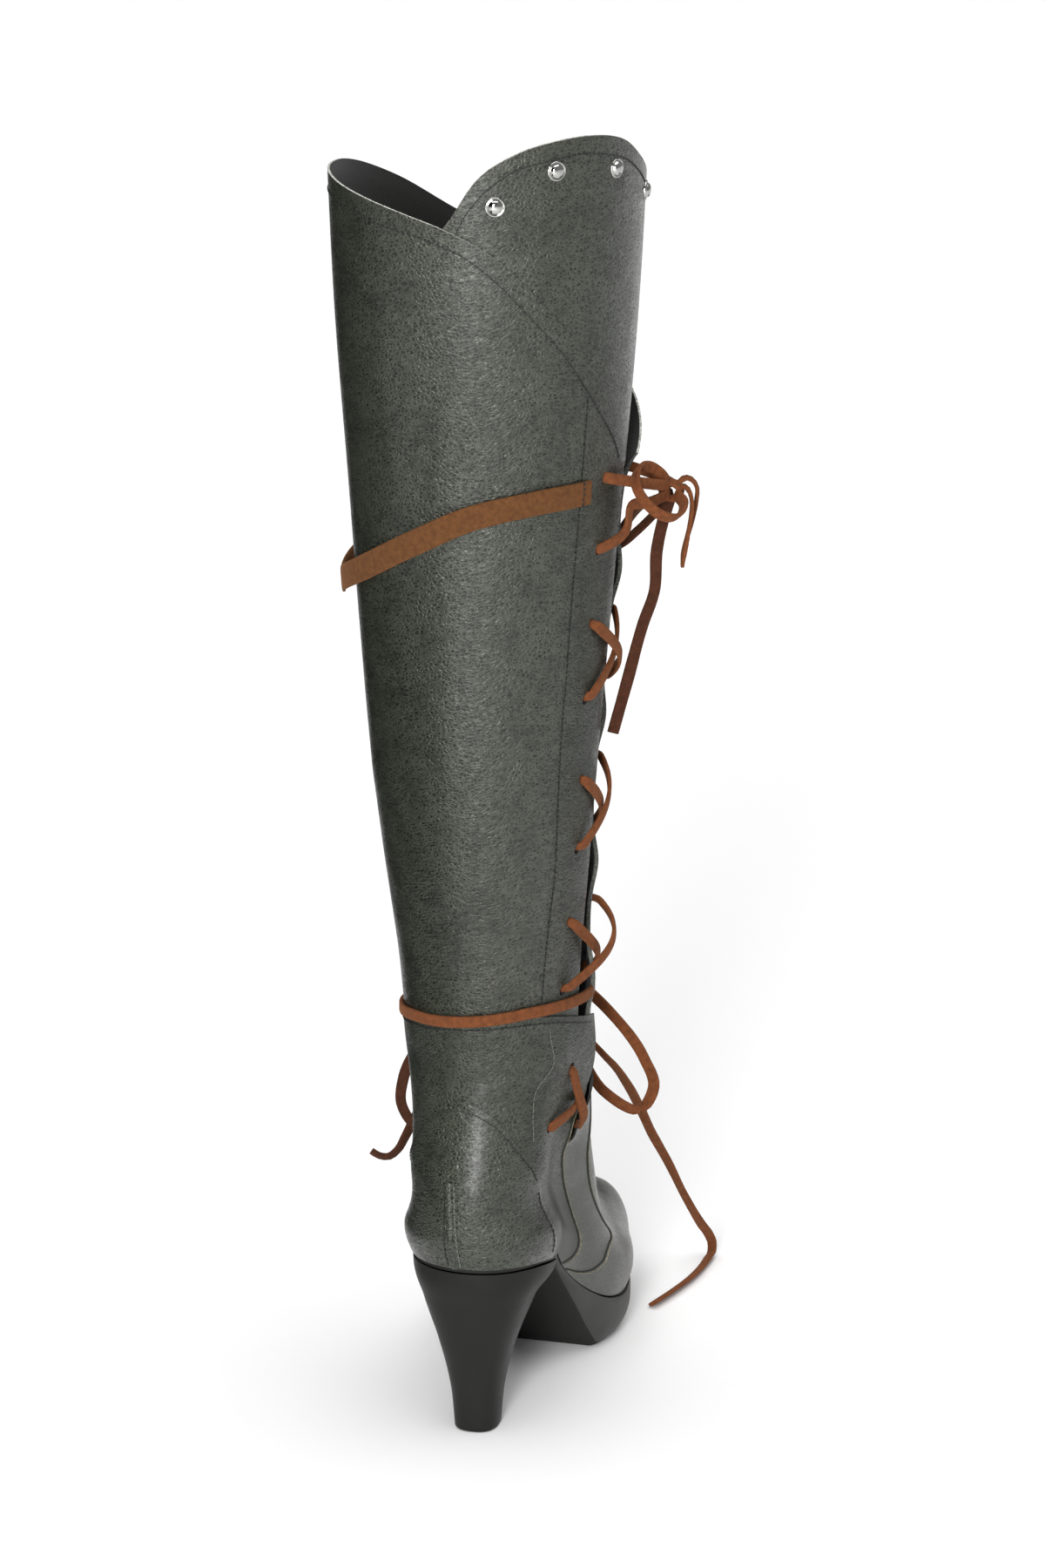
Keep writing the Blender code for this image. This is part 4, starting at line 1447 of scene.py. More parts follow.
    def leg_wrap(self) -> Piece:
        """Leg panel wrapped round from the slit's front edge to its back edge.

        Returns:
            The new object.
        """
        share = np.linspace(0, 1, self.leg_columns + 1)
        top_front, top_back = self.slit.edges(self.form.rise(self.slit.top))
        top = self.wrap_height(top_front + share * (360 + top_back - top_front))
        up = np.linspace(0, 1, self.leg_rows + 1)[:, None]
        height = mix(self.leg_low, top[None], up)
        rise = self.form.rise(height)
        front, back = self.slit.edges(rise)
        span = 360 + back - front
        angle = front + share[None] * span
        from_front = np.radians(share[None] * span) * self.leg_radius
        to_top = top[None] - height
        start, width = self.curl_end
        curl = np.exp(-(((height - self.curl_height) / self.curl_half) ** 2))
        curl = curl * np.exp(-to_top / self.curl_fade) * (1 - ease((angle - start) / width))
        off = self.slit.flare(height, from_front) + self.corner_curl * curl
        thick = mix(self.skive, self.wall, ease(to_top / self.skive_width))
        holes = [self.form.place(*self.slit.hole(number, side)) for number in range(8) for side in Side]
        skins = [self.palette.grained, self.palette.lining, self.palette.grey_edge, self.palette.edge]
        return self.panel("leg_wrap", (angle, rise), off, thick, skins, holes)

    def knee_flap(self) -> Piece:
        """Strip behind the slit that widens into the rounded knee flap.

        Returns:
            The new object.
        """
        columns, strip_rows, flap_rows, half_width = 64, 120, 70, 0.022
        low_end, high_end, tucked, level, thick = 0.140, 0.450, -0.0066, -0.0009, 0.0014
        share = np.linspace(0, 1, columns + 1)
        height = np.linspace(low_end, high_end, strip_rows + 1)[:, None]
        strip = np.stack(self.form.lateral_spot(self.slit.line + (2 * share - 1) * half_width, height), -1)
        top_angle = mix(self.flap_edge.rows[0][0], self.flap_edge.rows[-1][0], share)
        top_rise = self.form.rise(self.flap_edge.curve("height", top_angle))
        up = np.linspace(0, 1, flap_rows + 1)[:, None, None]
        spots = np.concatenate([strip[:-1], mix(strip[-1], np.stack([top_angle, top_rise], -1), up)])
        above = self.form.height(spots[..., 1]) - self.wrap_height(spots[..., 0])
        off = mix(tucked, level, ease((above + 0.017) / 0.015))
        skins = [self.palette.grained, self.palette.lining, self.palette.edge]
        return self.panel("knee_flap", (spots[..., 0], spots[..., 1]), off, thick, skins)

    def foot_shell(self) -> Piece:
        """Vamp and the lined shell under the sewn panels, open along the slit's foot.

        Returns:
            The new object.
        """
        columns, rows, top, off, thick = 180, 90, 0.184, -0.0004, 0.0015
        share = np.linspace(0, 1, columns + 1)
        rise = np.linspace(0, float(self.form.rise(top)), rows + 1)
        gape = self.gape(rise)
        start = self.quarter_edge.curve("angle", rise) + gape
        angle = start[:, None] + share[None] * (360 - 1.6 * gape)[:, None]
        grid = np.broadcast_to(rise[:, None], angle.shape)
        skins = [self.palette.smooth, self.palette.lining, self.palette.edge]
        return self.panel("foot_shell", (angle, grid), off, thick, skins)

    def quarter(self) -> Piece:
        """Quarter and ankle panel sewn round the back of the foot.

        Returns:
            The new object.
        """
        columns, rows, thick, top_front, top_medial = 150, 84, 0.0008, 16.5, 1.04
        lip, lip_rise, lip_half, lip_fade = 0.0016, 0.97, 0.06, 0.05
        share = np.linspace(0, 1, columns + 1)
        up = np.linspace(0, 1, rows + 1)[:, None]
        top_angle = mix(float(self.medial_edge(top_medial)), top_front, share)
        rise = up * self.form.rise(self.ankle_edge.curve("height", top_angle))[None]
        angle = mix(self.medial_edge(rise), self.quarter_edge.curve("angle", rise), share[None])
        proud = lip * np.exp(-(((rise - lip_rise) / lip_half) ** 2)) * np.exp(-(1 - share[None]) / lip_fade)
        holes = [self.form.place(*self.slit.hole(number, Side.BACK), thick) for number in (8, 9)]
        skins = [self.palette.stretched, self.palette.lining, self.palette.dark_edge]
        return self.panel("heel_quarter", (angle, rise), thick + proud, thick, skins, holes)

    def saddles(self) -> list[Piece]:
        """Side panels between the quarter and the vamp, one on each side.

        Returns:
            The new objects.
        """
        columns, rows, top, thick = 30, 84, 0.965, 0.0006
        tuck, narrowest, lip, lip_fade = 2.5, 0.8, 0.0024, 0.20
        share = np.linspace(0, 1, columns + 1)
        rise = np.linspace(0.0, top, rows + 1)
        start = self.quarter_edge.curve("angle", rise) + self.gape(rise) - tuck * (rise < self.split_rise)
        end = np.maximum(self.saddle_edge.curve("angle", rise), start + narrowest)
        angle = mix(start[:, None], end[:, None], share[None])
        grid = np.broadcast_to(rise[:, None], angle.shape)
        window = ease((rise - 0.64) / 0.08) * (1 - ease((rise - 0.90) / 0.06))
        off = thick / 2 + lip * window[:, None] * np.exp(-share[None] / lip_fade)
        skins = [self.palette.smooth, self.palette.lining, self.palette.dark_edge]
        return [
            self.panel("lateral_saddle", (angle, grid), off, thick, skins),
            self.panel("medial_saddle", ((180 - angle)[:, ::-1], grid), off[:, ::-1], thick, skins),
        ]

    def counter(self) -> Piece:
        """Stiffened heel counter sewn over the quarter.

        Returns:
            The new object.
        """
        columns, rows, off, thick = 90, 60, 0.0013, 0.0005
        angle = np.linspace(self.counter_top.rows[0][0], self.counter_top.rows[-1][0], columns + 1)
        rise = np.linspace(0, 1, rows + 1)[:, None] * self.counter_top.curve("rise", angle)[None]
        skins = [self.palette.grained, self.palette.lining, self.palette.dark_edge]
        return self.panel("heel_counter", (np.broadcast_to(angle[None], rise.shape), rise), off, thick, skins)

    def back_bead(self) -> Piece:
        """Narrow raised strip over the back seam.

        Returns:
            The new object.
        """
        top, off, width, thick = 0.52, 0.0013, 0.0026, 0.0014
        rise = np.linspace(0.0, top, 60)
        path = self.form.place(mix(-93.0, -96.0, rise / top), rise, off)
        points, faces = strip_mesh(path, np.array((1.0, 0.1, 0.0)), width, thick, sides=10)
        return make_piece("back_seam_bead", points, faces, [self.palette.grained], Slot.LEATHER)


@dataclass(frozen=True)
class SeamLine:
    """Line of stitches through spots on the leather."""

    name: str
    spots: tuple[Spot, ...]
    off: float
    thread: float = 0.00050
    pitch: float = 0.0027
    length: float = 0.0019
    # glint: sewn in the paler thread, a painted highlight.
    glint: bool = False


@dataclass
class Stitching:
    """Sewing thread along the seams."""

    form: BootForm
    palette: Palette
    leather: Leather
    depth: float = 0.0008

    def on_leg(self, rows: Iterable[Spot]) -> tuple[Spot, ...]:
        """Angles and rises of spots on the leg, from angles and heights."""
        return tuple((angle, float(self.form.rise(height))) for angle, height in rows)

    def seams(self) -> list[SeamLine]:
        """Lists the seams.

        Returns:
            Seam lines.
        """
        wrap = self.on_leg(
            (
                (-168, 0.572), (-139, 0.57), (-112, 0.564), (-97.5, 0.5608), (-82.5, 0.5538),
                (-69.5, 0.5417), (-58, 0.5271), (-45.5, 0.5115), (-32, 0.4916), (-23.5, 0.4795),
                (-12, 0.4648), (-6, 0.456),
            )
        )
        front = self.on_leg(
            (
                (27, 0.45), (38, 0.459), (52, 0.4785), (70, 0.502), (90, 0.522), (120, 0.5425),
                (143, 0.559), (172, 0.5708), (192, 0.572),
            )
        )
        flap = self.on_leg(
            (
                (-86.5, 0.56), (-85, 0.5633), (-82, 0.5703), (-79.5, 0.5746), (-73.5, 0.5824),
                (-63.5, 0.5901), (-49, 0.5938), (-36, 0.5948), (-18, 0.5905), (-4, 0.5822), (18, 0.5662),
                (35, 0.5495), (49, 0.5285), (58, 0.507),
            )
        )
        facing = self.on_leg(
            (
                (-31.5, 0.488), (-32, 0.4467), (-32.5, 0.4191), (-33, 0.3923), (-33, 0.3646),
                (-33.5, 0.3413), (-33.5, 0.2774), (-37.5, 0.2445), (-42, 0.2108), (-41.5, 0.202),
            )
        )
        front_facing = self.on_leg(
            ((52, 0.476), (52, 0.4191), (52, 0.3413), (55, 0.2774), (58, 0.2445), (62, 0.2108), (62, 0.199))
        )
        low_facing = ((-38, 1.038), (-36.5, 0.988), (-46.5, 0.936), (-49.5, 0.876), (-49, 0.728))
        edge, top, below, below_top = self.leather.ankle_edge, self.leather.counter_top, 0.0035, 0.03
        back, heel = np.linspace(-170, 10, 30), np.linspace(-139, -47, 40)
        ankle = self.on_leg((angle, edge.curve("height", angle) - below) for angle in back)
        counter = tuple((angle, float(top.curve("rise", angle)) - below_top) for angle in heel)
        counter_side = ((-46.5, 0.03), (-46.5, 0.2), (-46.5, 0.42))
        counter_far = ((-139.5, 0.03), (-139.5, 0.2), (-139.5, 0.42))
        bead_left = ((-95.8, 0.01), (-98.6, 0.51))
        bead_right = ((-90.2, 0.01), (-93.4, 0.51))
        leg, fine = 0.0004, 0.00038
        flap_off, quarter_off, counter_off = leg - 0.0009, leg + 0.0008, leg + 0.0013
        return [
            SeamLine("wrap_back_stitches", wrap, leg),
            SeamLine("wrap_front_stitches", front, leg),
            SeamLine("knee_flap_stitches", flap, flap_off),
            SeamLine("facing_stitches", facing, leg, fine),
            SeamLine("front_facing_stitches", front_facing, leg, fine),
            SeamLine("low_facing_stitches", low_facing, quarter_off, 0.00040, glint=True),
            SeamLine("ankle_stitches", ankle, quarter_off),
            SeamLine("counter_stitches", counter, counter_off),
            SeamLine("counter_side_stitches", counter_side, counter_off),
            SeamLine("counter_far_stitches", counter_far, counter_off),
            SeamLine("bead_left_stitches", bead_left, counter_off),
            SeamLine("bead_right_stitches", bead_right, counter_off, 0.00040, glint=True),
        ]

    def build(self) -> list[Piece]:
        """Sews every seam.

        Returns:
            One piece per seam.
        """
        return [self.sew(seam) for seam in self.seams()]

    def sew(self, seam: SeamLine) -> Piece:
        """Sews one seam as short sunk stitches.

        Args:
            seam: the seam.

        Returns:
            The new object.
        """
        spots = np.array(seam.spots, float)
        keys = np.arange(len(spots)) * 1.0
        fine = curve_values(keys, spots, np.linspace(0, keys[-1], 40 * len(spots)))
        top = self.form.place(fine[:, 0], fine[:, 1], seam.off)
        below = self.form.place(fine[:, 0], fine[:, 1], seam.off - self.depth)
        length = travelled(top)
        normal = unit(top - below)
        stitches = []
        for middle in np.arange(seam.pitch / 2, length[-1], seam.pitch):
            at = middle + seam.length * np.array((-0.55, -0.42, 0.0, 0.42, 0.55))
            line, out = read_along(at, length, top), read_along(at, length, normal)
            line = line - out * seam.thread * np.array((1.0, 0.55, 0.35, 0.55, 1.0))[:, None]
            broad = np.cross(out, np.gradient(line, axis=0))
            stitches.append(strip_mesh(line, broad, seam.thread, seam.thread, sides=6))
        points, faces = joined(stitches)
        # Seams marked glint take the paler thread: a painted highlight.
        thread = self.palette.glinting_thread if seam.glint else self.palette.thread
        return make_piece(seam.name, points, faces, [thread], Slot.LEATHER)


# Sole


@dataclass
class SoleUnit:
    """Platform, waist and tapered heel, moulded in one, and the sock inside."""

    form: BootForm
    palette: Palette
    rim: float = 0.0008
    heel_rim: float = 0.0003
    back: float = 0.0030
    front: float = 0.2335
    breast: float = 0.0760
    stations: int = 150
    drops: int = 22
    under_band: Spot = (0.42, 0.58)
    plate: Table = Table(
        ("along", "thick", "taper"),
        (
            (0.0, 0.0016, 0.0), (0.05, 0.0018, 0.0002), (0.065, 0.0032, 0.0008), (0.08, 0.0046, 0.0016),
            (0.09, 0.0052, 0.0022), (0.1, 0.007, 0.0032), (0.11, 0.0115, 0.0048), (0.12, 0.019, 0.0066),
            (0.13, 0.026, 0.0082),
        ),
    )
    section: Table = Table(
        ("down", "inward"),
        (
            (0.0, 0.05), (0.04, 0.0), (0.2, -0.04), (0.4, -0.03), (0.6, 0.1), (0.78, 0.34), (0.9, 0.62),
            (0.97, 0.86), (1.0, 1.1),
        ),
    )
    heel: Table = Table(
        ("up", "back", "front", "half_width"),
        (
            (0.0, 0.017, 0.04, 0.0101), (0.25, 0.0148, 0.0425, 0.012), (0.53, 0.01, 0.049, 0.0175),
            (0.77, 0.006, 0.057, 0.0245), (0.92, 0.004, 0.066, 0.0282), (0.98, 0.0036, 0.071, 0.0292),
        ),
    )

    def build(self) -> list[Piece]:
        """Builds the sole unit and dresses the sock.

        Returns:
            The new pieces.
        """
        plate, heel = self.platform(), self.heel_block()
        points, faces = joined([plate, heel])
        ring = 2 * self.drops
        # Faces in the underside band take the shaded underside finish: painted shade.
        start, end = (edge * (ring - 1) for edge in self.under_band)
        looks = [int(start < face[0] % ring < end) for face in plate[1]] + [0] * len(heel[1])
        skins = [self.palette.soling, self.palette.shaded_underside]
        sole = make_piece("sole_and_heel", points, faces, skins, Slot.SOLE, looks, sharp=50)
        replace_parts(sole, "sole_unit")
        sock = self.sock()
        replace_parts(sock, "insole")
        return [sole, sock]

    def reach(self, along: Array, margin: Any) -> tuple[Array, Array]:
        """Lateral and medial reach of the feather line moved out by a margin.

        Args:
            along: distance along the foot.
            margin: distance outwards.

        Returns:
            Lateral and medial reach.
        """
        part = np.clip((along - self.back + margin) / (self.front - self.back + 2 * margin), 0, 1)
        bow = 2 * np.sqrt(part * (1 - part))
        more = margin * np.minimum(1.0, 2.5 * bow)
        lateral, medial = (self.form.feather.curve(side, part) * bow + more for side in ("lateral", "medial"))
        return lateral, medial

    def platform(self) -> Mesh:
        """Platform and waist as one closed loft.

        Returns:
            Points and faces.
        """
        down = np.linspace(0, 1, self.drops) ** 0.9
        inward = self.section.curve("inward", down)
        part = (1 + np.sin(np.radians(np.linspace(-89.3, 89.3, self.stations)))) / 2
        along = mix(self.back - self.heel_rim, self.front + self.rim, part)
        lateral, medial = self.reach(along, mix(self.heel_rim, self.rim, ease((along - 0.08) / 0.05)))
        top = self.form.sole_top(along)
        waist = along < self.plate.rows[-1][0]
        under = np.where(waist, top - self.plate.curve("thick", along), self.form.sole.curve("under", along))
        under = np.clip(under, 0, None)
        taper = np.where(waist, self.plate.curve("taper", along), self.form.sole.curve("taper", along))
        taper = np.minimum(taper, 0.45 * np.minimum(lateral, medial))
        right = lateral[:, None] - inward[None] * taper[:, None]
        left = inward[None] * taper[:, None] - medial[:, None]
        height = mix(top[:, None], under[:, None], down[None])
        across = np.concatenate([right, left[:, ::-1]], 1)
        level = np.concatenate([height, height[:, ::-1]], 1)
        points = np.stack([across, np.broadcast_to(along[:, None], across.shape), level], -1)
        return points.reshape(-1, 3) - SHIFT, tube_faces(self.stations, across.shape[1])

    def heel_block(self) -> Mesh:
        """Tapered heel with rounded corners, flared at its top into the seat's outline.

        Returns:
            Points and faces.
        """
        sides, levels = 96, 70
        up = np.concatenate([[0.0, 0.004, 0.012], np.linspace(0.03, 0.985, levels)])
        shrink = np.concatenate([[0.0012, 0.0004, 0.0], np.zeros(levels)])
        turn = 2 * math.pi * np.arange(sides) / sides
        corner_power, flare_start, flare_span, seat_gap = 0.8, 0.78, 0.205, 0.0012
        back, front = self.heel.curve("back", up), self.heel.curve("front", up)
        half = (front - back) / 2 - shrink
        wide = self.heel.curve("half_width", up) - shrink
        across = wide[:, None] * squarish(np.cos(turn), corner_power)[None]
        along = ((front + back) / 2)[:, None] + half[:, None] * squarish(np.sin(turn), corner_power)[None]
        seat = mix(self.back - self.heel_rim, self.breast, (1 + np.sin(turn)) / 2)
        lateral, medial = self.reach(seat, self.heel_rim)
        corner = 1 - np.clip(np.sin(turn), 0, 1) ** 6
        brim = np.where(np.cos(turn) > 0, lateral, -medial) * corner
        flare = ease((up - flare_start) / flare_span)[:, None]
        across, along = mix(across, brim[None], flare), mix(along, seat[None], flare)
        height = up[:, None] * (self.form.sole_top(along) - seat_gap)
        points = np.stack([across, along, height], -1)
        return points.reshape(-1, 3) - SHIFT, tube_faces(len(up), sides)

    def sock(self) -> Piece:
        """Cloth sock on the sole, inside the shell.

        Returns:
            The new object.
        """
        inset, gap, thick, dish = 0.0036, 0.0006, 0.0018, 0.0012
        share = (1 + np.sin(np.radians(np.linspace(-82, 82, 90)))) / 2
        along = mix(self.back + inset, self.front - inset, share)
        lateral, medial = self.reach(along, -inset)
        part = np.linspace(0, 1, 17)[None]
        across = mix(lateral[:, None], -medial[:, None], part)
        low = self.form.sole_top(along)[:, None] + gap + dish * (2 * part - 1) ** 4
        outer = np.stack([across, np.broadcast_to(along[:, None], across.shape), low + thick], -1) - SHIFT
        inner = np.stack([across, np.broadcast_to(along[:, None], across.shape), low], -1) - SHIFT
        skins = [self.palette.lining] * 3
        return shell("cloth_sock", outer[:, ::-1], inner[:, ::-1], skins, Slot.LINING)


# Suede strap and laces


@dataclass(frozen=True)
class Route:
    """Free lace: directions of its broad side at even steps, and its own points in the boot's frame."""

    node: str
    broad: tuple[Point, ...]
    points_mm: tuple[Point, ...]
    far_end: str
    lay: str
    # back: the whole lace takes the darker lace suede, a painted shade for a lace hanging in shade.
    back: bool = False


@dataclass(frozen=True)
class KnotStrand:
    """Strand from a top hole to the knot: part of the way and rise above it at each bend, and whether it takes
    the darker lace suede, a painted shade.
    """

    hole: int
    side: Side
    bends: tuple[tuple[float, float], ...]
    # back: the strand takes the darker lace suede, a painted shade.
    back: bool = False


@dataclass(frozen=True)
class LaceCross:
    """Two strands over the slit below a pair of holes, and how far each stands off."""

    node: str
    upper_hole: int
    falling: float
    rising: float


@dataclass
class CalfBand:
    """Suede strap round the back of the leg, sewn down at both ends."""

    form: BootForm
    palette: Palette
    width: float = 0.0110
    thick: float = 0.0018
    low_angle: float = -165.0
    reach: float = 137.0
    slack: float = 0.0045
    slack_reach: float = 55.0
    far_slack_reach: float = 24.0
    gap: float = 0.0003
    stitch_inset: float = 4.2
    stitch_thick: float = 0.0007
    line: Table = Table(
        ("reach", "height"),
        ((0.0, 0.3965), (27.0, 0.408), (62.0, 0.427), (85.0, 0.439), (112.0, 0.445), (137.0, 0.446)),
    )

    def build(self) -> list[Piece]:
        """Builds the strap and the stitches across its ends.

        Returns:
            The new pieces.
        """
        reach = np.linspace(-self.reach, self.reach, 240)
        angle = self.low_angle + reach
        slack_reach = np.where(reach > 0, self.slack_reach, self.far_slack_reach)
        loose = np.clip(1 - (reach / slack_reach) ** 2, 0, 1) ** 2
        height = self.line.curve("height", np.abs(reach))
        off = self.gap + self.thick / 2 + self.slack * loose
        path = self.form.place(angle, self.form.rise(height), off)
        broad = self.form.place(angle, self.form.rise(height + 0.004), off) - path
        points, faces = strip_mesh(path, broad, self.width, self.thick, sides=20)
        band = make_piece("suede_calf_band", points, faces, [self.palette.band], Slot.SUEDE)
        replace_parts(band, "calf_band")
        stitches, across = [], np.array((0.3, 1.0, 0.0))
        upward = np.array((-0.00085, -0.0005, 0.0, 0.0005, 0.00085))
        stitch_off = 0.0002 + self.thick + np.array((-0.0006, 0.0, 0.00015, 0.0, -0.0006))
        for spot in (self.stitch_inset - self.reach, self.reach - self.stitch_inset):
            for part in np.linspace(-0.42, 0.42, 5):
                heights = float(self.line.curve("height", abs(spot))) + part * self.width + upward
                stitch = self.form.place(
                    np.full(5, self.low_angle + spot), self.form.rise(heights), stitch_off
                )
                stitches.append(strip_mesh(stitch, across, self.stitch_thick, self.stitch_thick, sides=6))
        points, faces = joined(stitches)
        return [band, make_piece("calf_band_stitches", points, faces, [self.palette.thread], Slot.SUEDE)]


@dataclass
class Lacing:
    """Flat suede lace through the holes, round the ankle and into two bows."""

    form: BootForm
    slit: Slit
    palette: Palette
    width: float = 0.0052
    thick: float = 0.0019
    lift: float = 0.0014
    step: float = 0.0022
    crossings: tuple[LaceCross, ...] = (
        LaceCross("lace_cross_1", 2, 0.0036, 0.0014),
        LaceCross("lace_cross_2", 4, 0.0012, 0.0042),
        LaceCross("lace_cross_3", 6, 0.0036, 0.0105),
        LaceCross("lace_cross_low", 8, 0.0052, 0.0028),
    )
    knot_strands: tuple[KnotStrand, ...] = (
        KnotStrand(0, Side.BACK, ((0.28, 0.0), (0.62, 0.0))),
        KnotStrand(0, Side.FRONT, ((0.28, 0.0), (0.62, 0.0))),
        KnotStrand(1, Side.BACK, ((0.34, 0.001), (0.41, 0.01), (0.62, 0.006))),
        KnotStrand(1, Side.FRONT, ((0.28, 0.0), (0.62, 0.0)), back=True),
    )
    upper_knot: Point = (0.0785, 0.0685, 0.4366)
    ankle_knot: Point = (0.0, 0.1224, 0.189)
    upper_bow: tuple[Route, ...] = (
        Route("upper_loop_a", (
            (0.69, -0.21, 0.63), (0.69, -0.21, 0.63), (0.69, -0.21, 0.63), (0.69, -0.21, 0.63),
            (0.69, -0.21, 0.63), (0.3, -0.1, 0.95), (-0.35, 0.0, 0.9)), (
            (80.5, 66.5, 435.0), (82.8, 64.5, 433.8), (86.1, 58.8, 432.6), (86.5, 51.4, 429.7),
            (84.4, 43.9, 429.5), (79.9, 38.4, 432.3), (74.7, 36.4, 437.3), (70.2, 38.5, 442.9),
            (68.0, 44.0, 447.4), (68.4, 51.3, 449.7), (71.3, 57.8, 448.4), (75.2, 63.2, 443.5),
            (77.6, 66.2, 439.2)), "object", "loose"),
        Route("upper_loop_b", (
            (-0.27, 0.96, 0.0), (-0.27, 0.96, 0.0), (-0.27, 0.96, 0.0), (-0.27, 0.96, 0.0),
            (-0.05, 0.19, -0.95), (0.11, -0.4, -0.9), (0.27, -0.96, 0.0), (0.27, -0.96, 0.0),
            (0.27, -0.96, 0.0)), (
            (80.5, 69.0, 438.5), (83.3, 71.0, 441.2), (85.9, 73.8, 440.2), (88.0, 75.8, 436.2),
            (87.7, 76.3, 431.0), (86.5, 76.2, 424.0), (84.6, 75.7, 416.5), (83.2, 75.0, 410.8),
            (82.7, 73.2, 406.2), (83.3, 69.3, 403.6), (84.3, 65.6, 406.2), (85.4, 64.3, 410.8),
            (86.5, 64.2, 416.0), (87.4, 64.8, 421.5), (88.0, 65.6, 427.0), (87.9, 66.6, 431.8),
            (86.6, 67.7, 435.8), (84.3, 68.5, 438.0), (81.2, 68.7, 437.8)), "object", "hanging"),
        Route("upper_tail_a", ((0.95, 0.31, 0.0),), (
            (77.8, 67.5, 433.0), (75.0, 67.0, 423.0), (72.2, 66.7, 409.0), (71.0, 67.5, 390.0),
            (65.8, 68.0, 374.5), (59.0, 67.0, 348.0), (52.8, 66.0, 324.0)), "bare", "hanging", True),
        Route("upper_tail_b", ((0.6, 0.8, 0.0),), (
            (75.2, 73.5, 433.5), (62.0, 82.0, 425.5), (49.0, 92.0, 409.0), (41.5, 98.0, 384.0),
            (38.0, 99.0, 350.0), (35.0, 99.0, 318.0)), "bare", "hanging", True),
    )
    ankle_bow: tuple[Route, ...] = (
        Route("ankle_loop_lateral", (
            (0.4, -0.4, 0.8), (0.75, 0.05, 0.65), (0.85, 0.1, 0.45), (0.5, -0.2, 0.82), (0.1, -0.7, 0.7)), (
            (8.8, 122.6, 195.8), (24.0, 130.0, 180.0), (35.0, 132.0, 169.0), (51.5, 134.0, 146.3),
            (56.4, 133.0, 133.7), (51.4, 129.0, 123.1), (35.3, 124.0, 131.5), (24.0, 122.0, 150.0),
            (15.5, 122.0, 172.0), (10.6, 121.2, 188.5)), "object", "hanging"),
        Route("ankle_tail_lateral", (
            (0.6, -0.7, 0.3), (0.65, -0.65, 0.35), (0.8, -0.45, 0.4), (0.7, -0.6, 0.3), (0.83, -0.2, 0.5),
            (0.83, -0.17, 0.54)), (
            (5.4, 125.4, 182.9), (18.0, 132.0, 162.0), (30.0, 140.0, 144.6), (33.5, 150.0, 135.0),
            (36.0, 164.0, 121.5), (37.5, 181.0, 104.8), (39.5, 198.0, 85.5), (43.0, 216.0, 65.0),
            (47.5, 235.0, 40.0), (52.2, 252.0, 19.0), (54.5, 258.5, 11.2), (55.6, 260.2, 6.8),
            (56.1, 258.0, 3.6), (56.2, 250.0, 3.0), (54.5, 227.0, 2.6), (49.5, 203.6, 2.6),
            (44.0, 184.2, 2.6)), "bare", "loose"),
        Route("ankle_loop_medial", (
            (-0.1, -0.7, 0.7), (0.8, -0.3, 0.5), (0.9, -0.1, 0.4), (0.3, -0.7, 0.6), (-0.1, -0.7, 0.7)), (
            (-8.8, 122.6, 195.8), (-30.0, 131.0, 177.0), (-51.0, 129.0, 154.0), (-63.2, 123.0, 130.0),
            (-64.0, 122.0, 117.0), (-58.0, 121.0, 108.5), (-47.0, 120.0, 118.0), (-29.0, 121.0, 148.0),
            (-16.5, 122.0, 172.0), (-10.6, 121.2, 188.5)), "object", "hanging", True),
        Route("ankle_tail_medial", (
            (-0.8, -0.45, 0.4), (-0.8, -0.45, 0.4), (0.3, -0.6, 0.75)), (
            (-5.4, 125.4, 182.9), (-25.0, 135.0, 158.0), (-45.0, 133.0, 129.0), (-59.0, 128.5, 109.0),
            (-64.0, 128.0, 98.5), (-68.0, 127.8, 91.2), (-72.2, 127.2, 87.8), (-76.5, 126.6, 88.0),
            (-80.5, 126.2, 90.2)), "bare", "hanging", True),
    )

    def build(self) -> list[Piece]:
        """Laces the boot.

        Returns:
            The new pieces.
        """
        pieces = [self.crossing(cross) for cross in self.crossings]
        pieces.append(self.ankle_wrap())
        upper_knot = self.knot("upper_bow_knot", self.upper_knot, (0.0, 1.0, 0.0), 0.0046, self.knot_strands)
        ankle_knot = self.knot("ankle_bow_knot", self.ankle_knot, (1.0, 0.0, 0.0), 0.005, ())
        for knot, centre, bow in (
            (upper_knot, self.upper_knot, self.upper_bow),
            (ankle_knot, self.ankle_knot, self.ankle_bow),
        ):
            pieces.append(knot)
            for route in bow:
                pieces.append(self.free_lace(route, centre))
        return pieces

    def dress(
        self, points: Array, faces: list[list[int]], node: str, looks: Sequence[int] | None = None
    ) -> Piece:
        """Makes a lace piece that stands for its node.

        Args:
            points: vertices.
            faces: faces.
            node: node it stands for.
            looks: 1 for each face given the darker lace suede, a painted shade.

        Returns:
            The new object.
        """
        lace = [self.palette.suede, self.palette.shaded_suede]
        piece = make_piece("suede_" + node, points, faces, lace, Slot.SUEDE, looks)
        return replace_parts(piece, node)

    def strand(self, start: Spot, end: Spot, bulge: float) -> Mesh:
        """Strand over the slit that comes out of one hole and goes into another.

        Args:
            start: angle and rise of the back hole.
            end: angle and rise of the front hole.
            bulge: how far it stands off the slit.

        Returns:
            Points and faces.
        """
        sink, sink_part, narrow, narrow_part = 0.0045, 0.07, 0.72, 0.10
        part = np.linspace(0, 1, 72)
        angle, rise = mix(start[0], end[0], part), mix(start[1], end[1], part)
        near = np.minimum(part, 1 - part)
        off = self.lift + bulge * np.sin(math.pi * part**1.3)
        normal = self.form.normal(angle, rise)
        sunk = sink * (1 - ease(near / sink_part)) ** 1.5
        path = self.form.place(angle, rise, off) - normal * sunk[:, None]
        broad = np.cross(normal, np.gradient(path, axis=0))
        width = self.width * mix(narrow, 1.0, ease(near / narrow_part))
        return strip_mesh(path, broad, width, self.thick)

